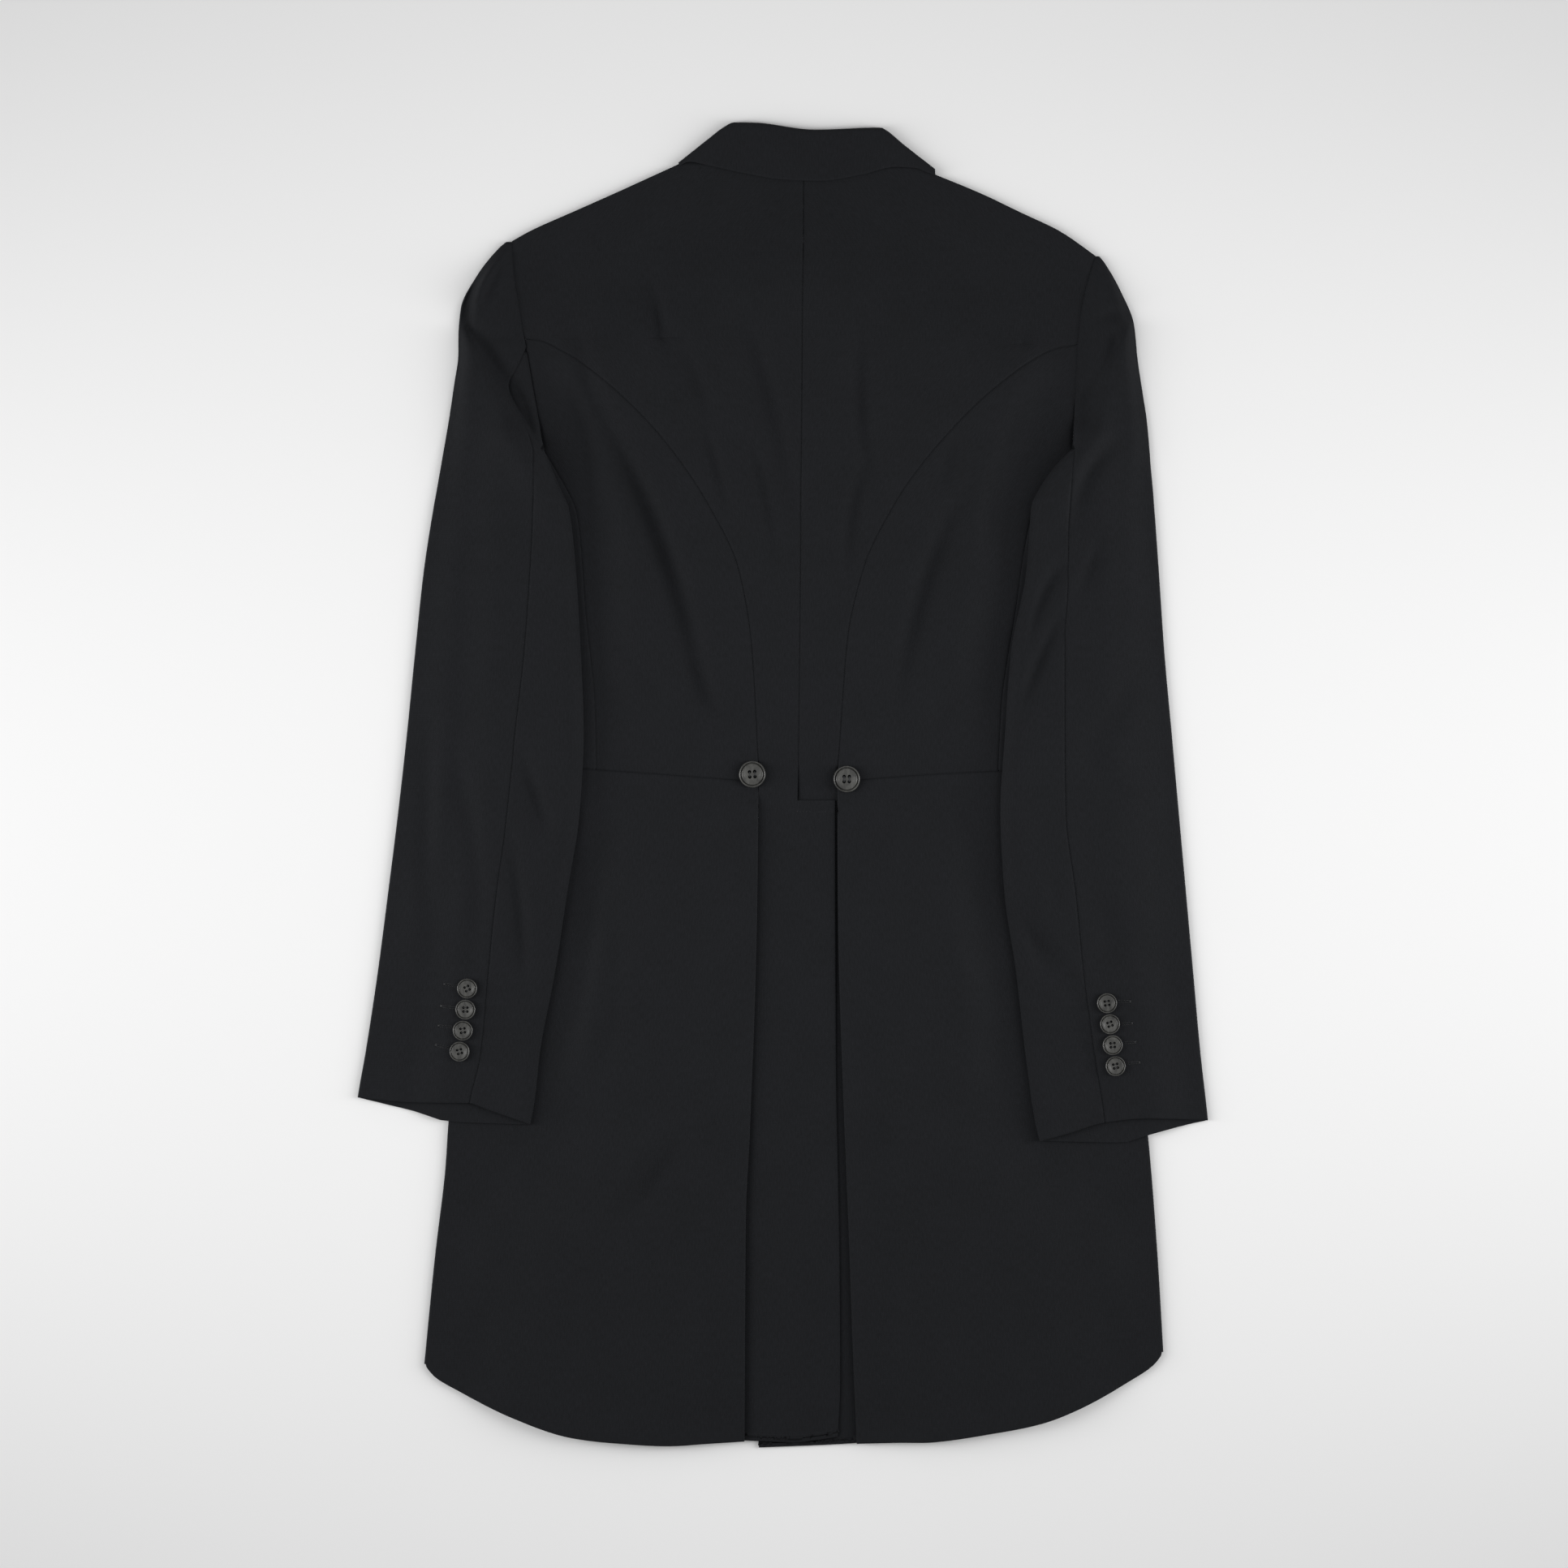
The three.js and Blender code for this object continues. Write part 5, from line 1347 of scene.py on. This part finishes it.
def pick_stitches():
    work = bmesh.new()
    for start, end in PICK_ROWS:
        spots, direction = along_line(start, end, PICK_STEP)
        for x, y in spots:
            top = height_at(tail_underside, "left", x, y) + WALL - PICK_SUNK
            stitch(work, x, y, top, direction, PICK_LENGTH, PICK_THREAD, PICK_THREAD)
    return sewing_object("vent_stitches", work)


vent_stitches = pick_stitches()

# %% [markdown]
# ## Materials
#
# Each material starts from what the real one is. Colours are given as hex values, as a dyer's card
# or a paint tool gives them, and turned to the linear values that the shader counts in. One small
# function adds a node with its settings, its numbers and its links.


# %% Two helpers for materials
def linear(hex_colour):
    """An sRGB hex value as the linear colour that a shader reads."""
    parts = [int(hex_colour[i:i + 2], 16) / 255 for i in (1, 3, 5)]
    return (*[p / 12.92 if p <= 0.04045 else ((p + 0.055) / 1.055) ** 2.4 for p in parts], 1)


def add(tree, kind, values=None, links=None, **settings):
    """Adds a node: settings are its own fields, values its sockets' numbers, links their sources."""
    made = tree.nodes.new(kind)
    for name, value in settings.items():
        setattr(made, name, value)
    for name, value in (values or {}).items():
        made.inputs[name].default_value = value
    for name, source in (links or {}).items():
        tree.links.new(source, made.inputs[name])
    return made


def new_material(name):
    material = bpy.data.materials.new(name)
    material.use_nodes = True
    material.node_tree.nodes.clear()
    return material, material.node_tree


def finish_surface(tree, shader):
    add(tree, "ShaderNodeOutputMaterial", links={"Surface": shader.outputs[0]})


# %% [markdown]
# ### Black worsted, woven and pressed
#
# Worsted is spun from combed long wool, so it is smooth and clear, and a black one takes in nearly
# all light: what the eye gets is a dull, even dark grey with a faint bloom where it turns away.
# Its threads are about 0.35 mm apart, too fine to show at this size, so the crossing of warp and
# weft is drawn at 1.4 mm and kept faint. Dyed wool is never one flat black: fine flecks run along
# the warp, about 1 mm wide and 5 mm long, and slow patches vary a little from hand to hand.

# %% Worsted
THREAD_STEP = 1.4 * MM
worsted, tree = new_material("black worsted, woven")
grain = add(tree, "ShaderNodeUVMap", uv_map="grain")
threads = add(tree, "ShaderNodeMapping", {"Scale": (1 / THREAD_STEP, 1 / THREAD_STEP, 1)},
              {"Vector": grain.outputs[0]})
BANDS_PER_UNIT = 2 * math.pi / 20
warp, weft = (
    add(tree, "ShaderNodeTexWave", {"Scale": BANDS_PER_UNIT, "Distortion": 0.6, "Detail": 1},
        {"Vector": threads.outputs[0]}, bands_direction=way) for way in "XY")
weave = add(tree, "ShaderNodeMath", links={0: warp.outputs["Fac"], 1: weft.outputs["Fac"]},
            operation="MULTIPLY")
FLECK_WIDTH, FLECK_LENGTH, PATCH = 1 * MM, 5 * MM, 40 * MM
patches = add(tree, "ShaderNodeTexNoise", {"Scale": 1 / PATCH, "Detail": 4, "Roughness": 0.6},
              {"Vector": grain.outputs[0]})
drawn_out = add(tree, "ShaderNodeMapping", {"Scale": (1 / FLECK_WIDTH, 1 / FLECK_LENGTH, 1)},
                {"Vector": grain.outputs[0]})
flecks = add(tree, "ShaderNodeTexNoise", {"Scale": 1, "Detail": 2, "Roughness": 0.7},
             {"Vector": drawn_out.outputs[0]})
tone = add(tree, "ShaderNodeMix", {"Factor": 0.75}, {"A": patches.outputs[0], "B": flecks.outputs[0]})
dye = add(tree, "ShaderNodeValToRGB", links={"Fac": tone.outputs[0]})
dye.color_ramp.elements[0].position = 0.3
dye.color_ramp.elements[0].color = linear("#131416")
dye.color_ramp.elements[1].position = 0.7
dye.color_ramp.elements[1].color = linear("#1a1b1e")
nap = add(tree, "ShaderNodeBump", {"Strength": 0.25, "Distance": 0.0002}, {"Height": weave.outputs[0]})
wool = add(tree, "ShaderNodeBsdfPrincipled",
           {"Roughness": 0.85, "Specular IOR Level": 0.12, "Sheen Weight": 0.02,
            "Sheen Roughness": 0.5, "Sheen Tint": linear("#a9abb0")},
           {"Base Color": dye.outputs[0], "Normal": nap.outputs[0]})
finish_surface(tree, wool)

# %% [markdown]
# ### Buffalo horn, turned and polished
#
# Dark horn grows in layers, so a turned button shows cloudy grey streaks, a few millimetres wide,
# and takes a soft polish with clear highlights. Its colour is one noise drawn out along the layers.
#
# ### Black silk thread, twisted
#
# The sewing is tone on tone: it shows because silk shines a little more than the wool, and because
# its colour is a little lighter than the wool's, with painted shine in lighter bands along the twist.

# %% Horn and thread
CLOUD, SCRATCH = 5 * MM, 0.4 * MM
horn, tree = new_material("buffalo horn, turned and polished")
place = add(tree, "ShaderNodeTexCoord")
layers = add(tree, "ShaderNodeMapping",
             {"Scale": (1 / CLOUD, 0.5 / CLOUD, 1 / CLOUD), "Rotation": (0, 0, 0.7)},
             {"Vector": place.outputs["Object"]})
clouds = add(tree, "ShaderNodeTexNoise",
             {"Scale": 1, "Detail": 5, "Roughness": 0.6, "Distortion": 1.2},
             {"Vector": layers.outputs[0]})
horn_tone = add(tree, "ShaderNodeValToRGB", links={"Fac": clouds.outputs[0]})
horn_tone.color_ramp.elements[0].position = 0.3
horn_tone.color_ramp.elements[0].color = linear("#262625")
horn_tone.color_ramp.elements[1].position = 0.72
horn_tone.color_ramp.elements[1].color = linear("#4b4b48")
scratches = add(tree, "ShaderNodeTexNoise", {"Scale": 1 / SCRATCH, "Detail": 2},
                {"Vector": place.outputs["Object"]})
polish = add(tree, "ShaderNodeBump", {"Strength": 0.08, "Distance": 0.00005},
             {"Height": scratches.outputs[0]})
finish_surface(tree, add(tree, "ShaderNodeBsdfPrincipled",
                         {"Roughness": 0.36, "IOR": 1.54, "Specular IOR Level": 0.5},
                         {"Base Color": horn_tone.outputs[0], "Normal": polish.outputs[0]}))

TWIST = 0.3 * MM
silk, tree = new_material("black silk thread, twisted")
place = add(tree, "ShaderNodeTexCoord")
ply = add(tree, "ShaderNodeMapping",
          {"Scale": (1 / TWIST, 1 / TWIST, 1 / TWIST), "Rotation": (0.4, 0.3, 0.8)},
          {"Vector": place.outputs["Object"]})
twist = add(tree, "ShaderNodeTexWave", {"Scale": BANDS_PER_UNIT}, {"Vector": ply.outputs[0]})
# Painted shine: the lighter colour bands along the twist stand in for the light caught by each ply.
painted_twist_shine = add(tree, "ShaderNodeMix", {"A": linear("#151618"), "B": linear("#232427")},
            {"Factor": twist.outputs["Fac"]}, data_type="RGBA")
finish_surface(tree, add(tree, "ShaderNodeBsdfPrincipled",
                         {"Roughness": 0.5, "Specular IOR Level": 0.35},
                         {"Base Color": painted_twist_shine.outputs["Result"]}))

# %% Each piece takes its material
sewing = [button_threads, vent_stitches, *worked_holes.values()]
for piece in cloth_pieces:
    piece.data.materials.append(worsted)
for button, _ in buttons:
    button.data.materials.append(horn)
for piece in sewing:
    piece.data.materials.append(silk)
print("cloth pieces", len(cloth_pieces), "buttons", len(buttons), "sewing", len(sewing))

# %% [markdown]
# ## Studio
#
# The floor is a plain pale sheet. An even glow from all round gives part of the light, and two long
# soft lamps, low at the left and right, give the rest: they rake across the cloth, so that each fold
# has a light and a dark side. The camera looks straight down with an 85 mm lens.

# %% Floor, light and camera
FLOOR_HALF_WIDTH, FLOOR_DROP = 6, 0.2 * MM
work = bmesh.new()
bmesh.ops.create_grid(work, x_segments=1, y_segments=1, size=FLOOR_HALF_WIDTH)
floor = as_object("studio_floor", work)
floor.location.z = -FLOOR_DROP
floor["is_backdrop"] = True
paper, tree = new_material("matt paper, pale")
finish_surface(tree, add(tree, "ShaderNodeBsdfPrincipled",
                         {"Base Color": linear("#e8e8e8"), "Roughness": 0.9, "Specular IOR Level": 0.1}))
floor.data.materials.append(paper)

world = bpy.data.worlds.new("studio glow")
world.use_nodes = True
world.node_tree.nodes["Background"].inputs["Color"].default_value = (1, 1, 1, 1)
world.node_tree.nodes["Background"].inputs["Strength"].default_value = 0.5
bpy.context.scene.world = world

SOFTBOX_AWAY, SOFTBOX_UP, SOFTBOX_BACK = 1.7, 0.5, -0.05
for side in SIDES:
    softbox_data = bpy.data.lights.new(f"softbox {side}", "AREA")
    softbox_data.shape = "RECTANGLE"
    softbox_data.size = 0.6
    softbox_data.size_y = 3.2
    softbox_data.spread = math.radians(90)
    softbox_data.energy = 16.4
    softbox = in_scene(f"softbox {side}", softbox_data)
    softbox.location = (OUT[side] * SOFTBOX_AWAY, SOFTBOX_BACK, SOFTBOX_UP)
    softbox.rotation_euler = (-softbox.location).to_track_quat("-Z", "Y").to_euler()

LENS, SENSOR, FRAME_WIDTH = 85, 36, 1.1785
CAMERA_X, CAMERA_Y = 0.0006, 0.0009
camera_data = bpy.data.cameras.new("camera")
camera_data.lens = LENS
camera_data.sensor_width = SENSOR
camera = in_scene("camera", camera_data)
camera.location = (CAMERA_X, CAMERA_Y, FRAME_WIDTH * LENS / SENSOR)
bpy.context.scene.camera = camera
bpy.context.scene.view_settings.view_transform = "Standard"

# %% [markdown]
# ## Riding with the coat
#
# Every piece rides with the coat's one body, and the imported solid of each cloth piece and button
# is hidden. A cloth piece also says how large it was cut. What it lies on is listed below but not
# kept on it: the pieces with nothing named lie on the floor.

# %% Riding with the body, hiding the solids, and what each piece lies on
LIES_ON = {"back": ["forepart", "lapel", "skirt"], "side_body": ["forepart"],
           "topsleeve": ["side_body", "forepart", "skirt"],
           "undersleeve": ["side_body", "forepart", "skirt"]}
for piece in cloth_pieces:
    node_name = piece.name.replace("cloth_", "")
    kind, _, side = node_name.rpartition("_")
    under = [f"cloth_{name}_{side}" for name in LIES_ON.get(kind, [])]
    if node_name == "collar":
        under = [back.name for back in backs.values()]
    if node_name == "back_left":
        under.append("cloth_back_right")
    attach(piece, "root")
    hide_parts(node_name)
    width, length, area = piece["cut"]
for button, node in buttons:
    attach(button, "root")
    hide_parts(node)
for piece in sewing:
    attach(piece, "root")

# %% The boxes of the solids and of the dressed coat
visual_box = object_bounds()
for name, box in (("cad", cad_box), ("visual", visual_box)):
    print(name, [[round(v, 4) for v in corner] for corner in box])
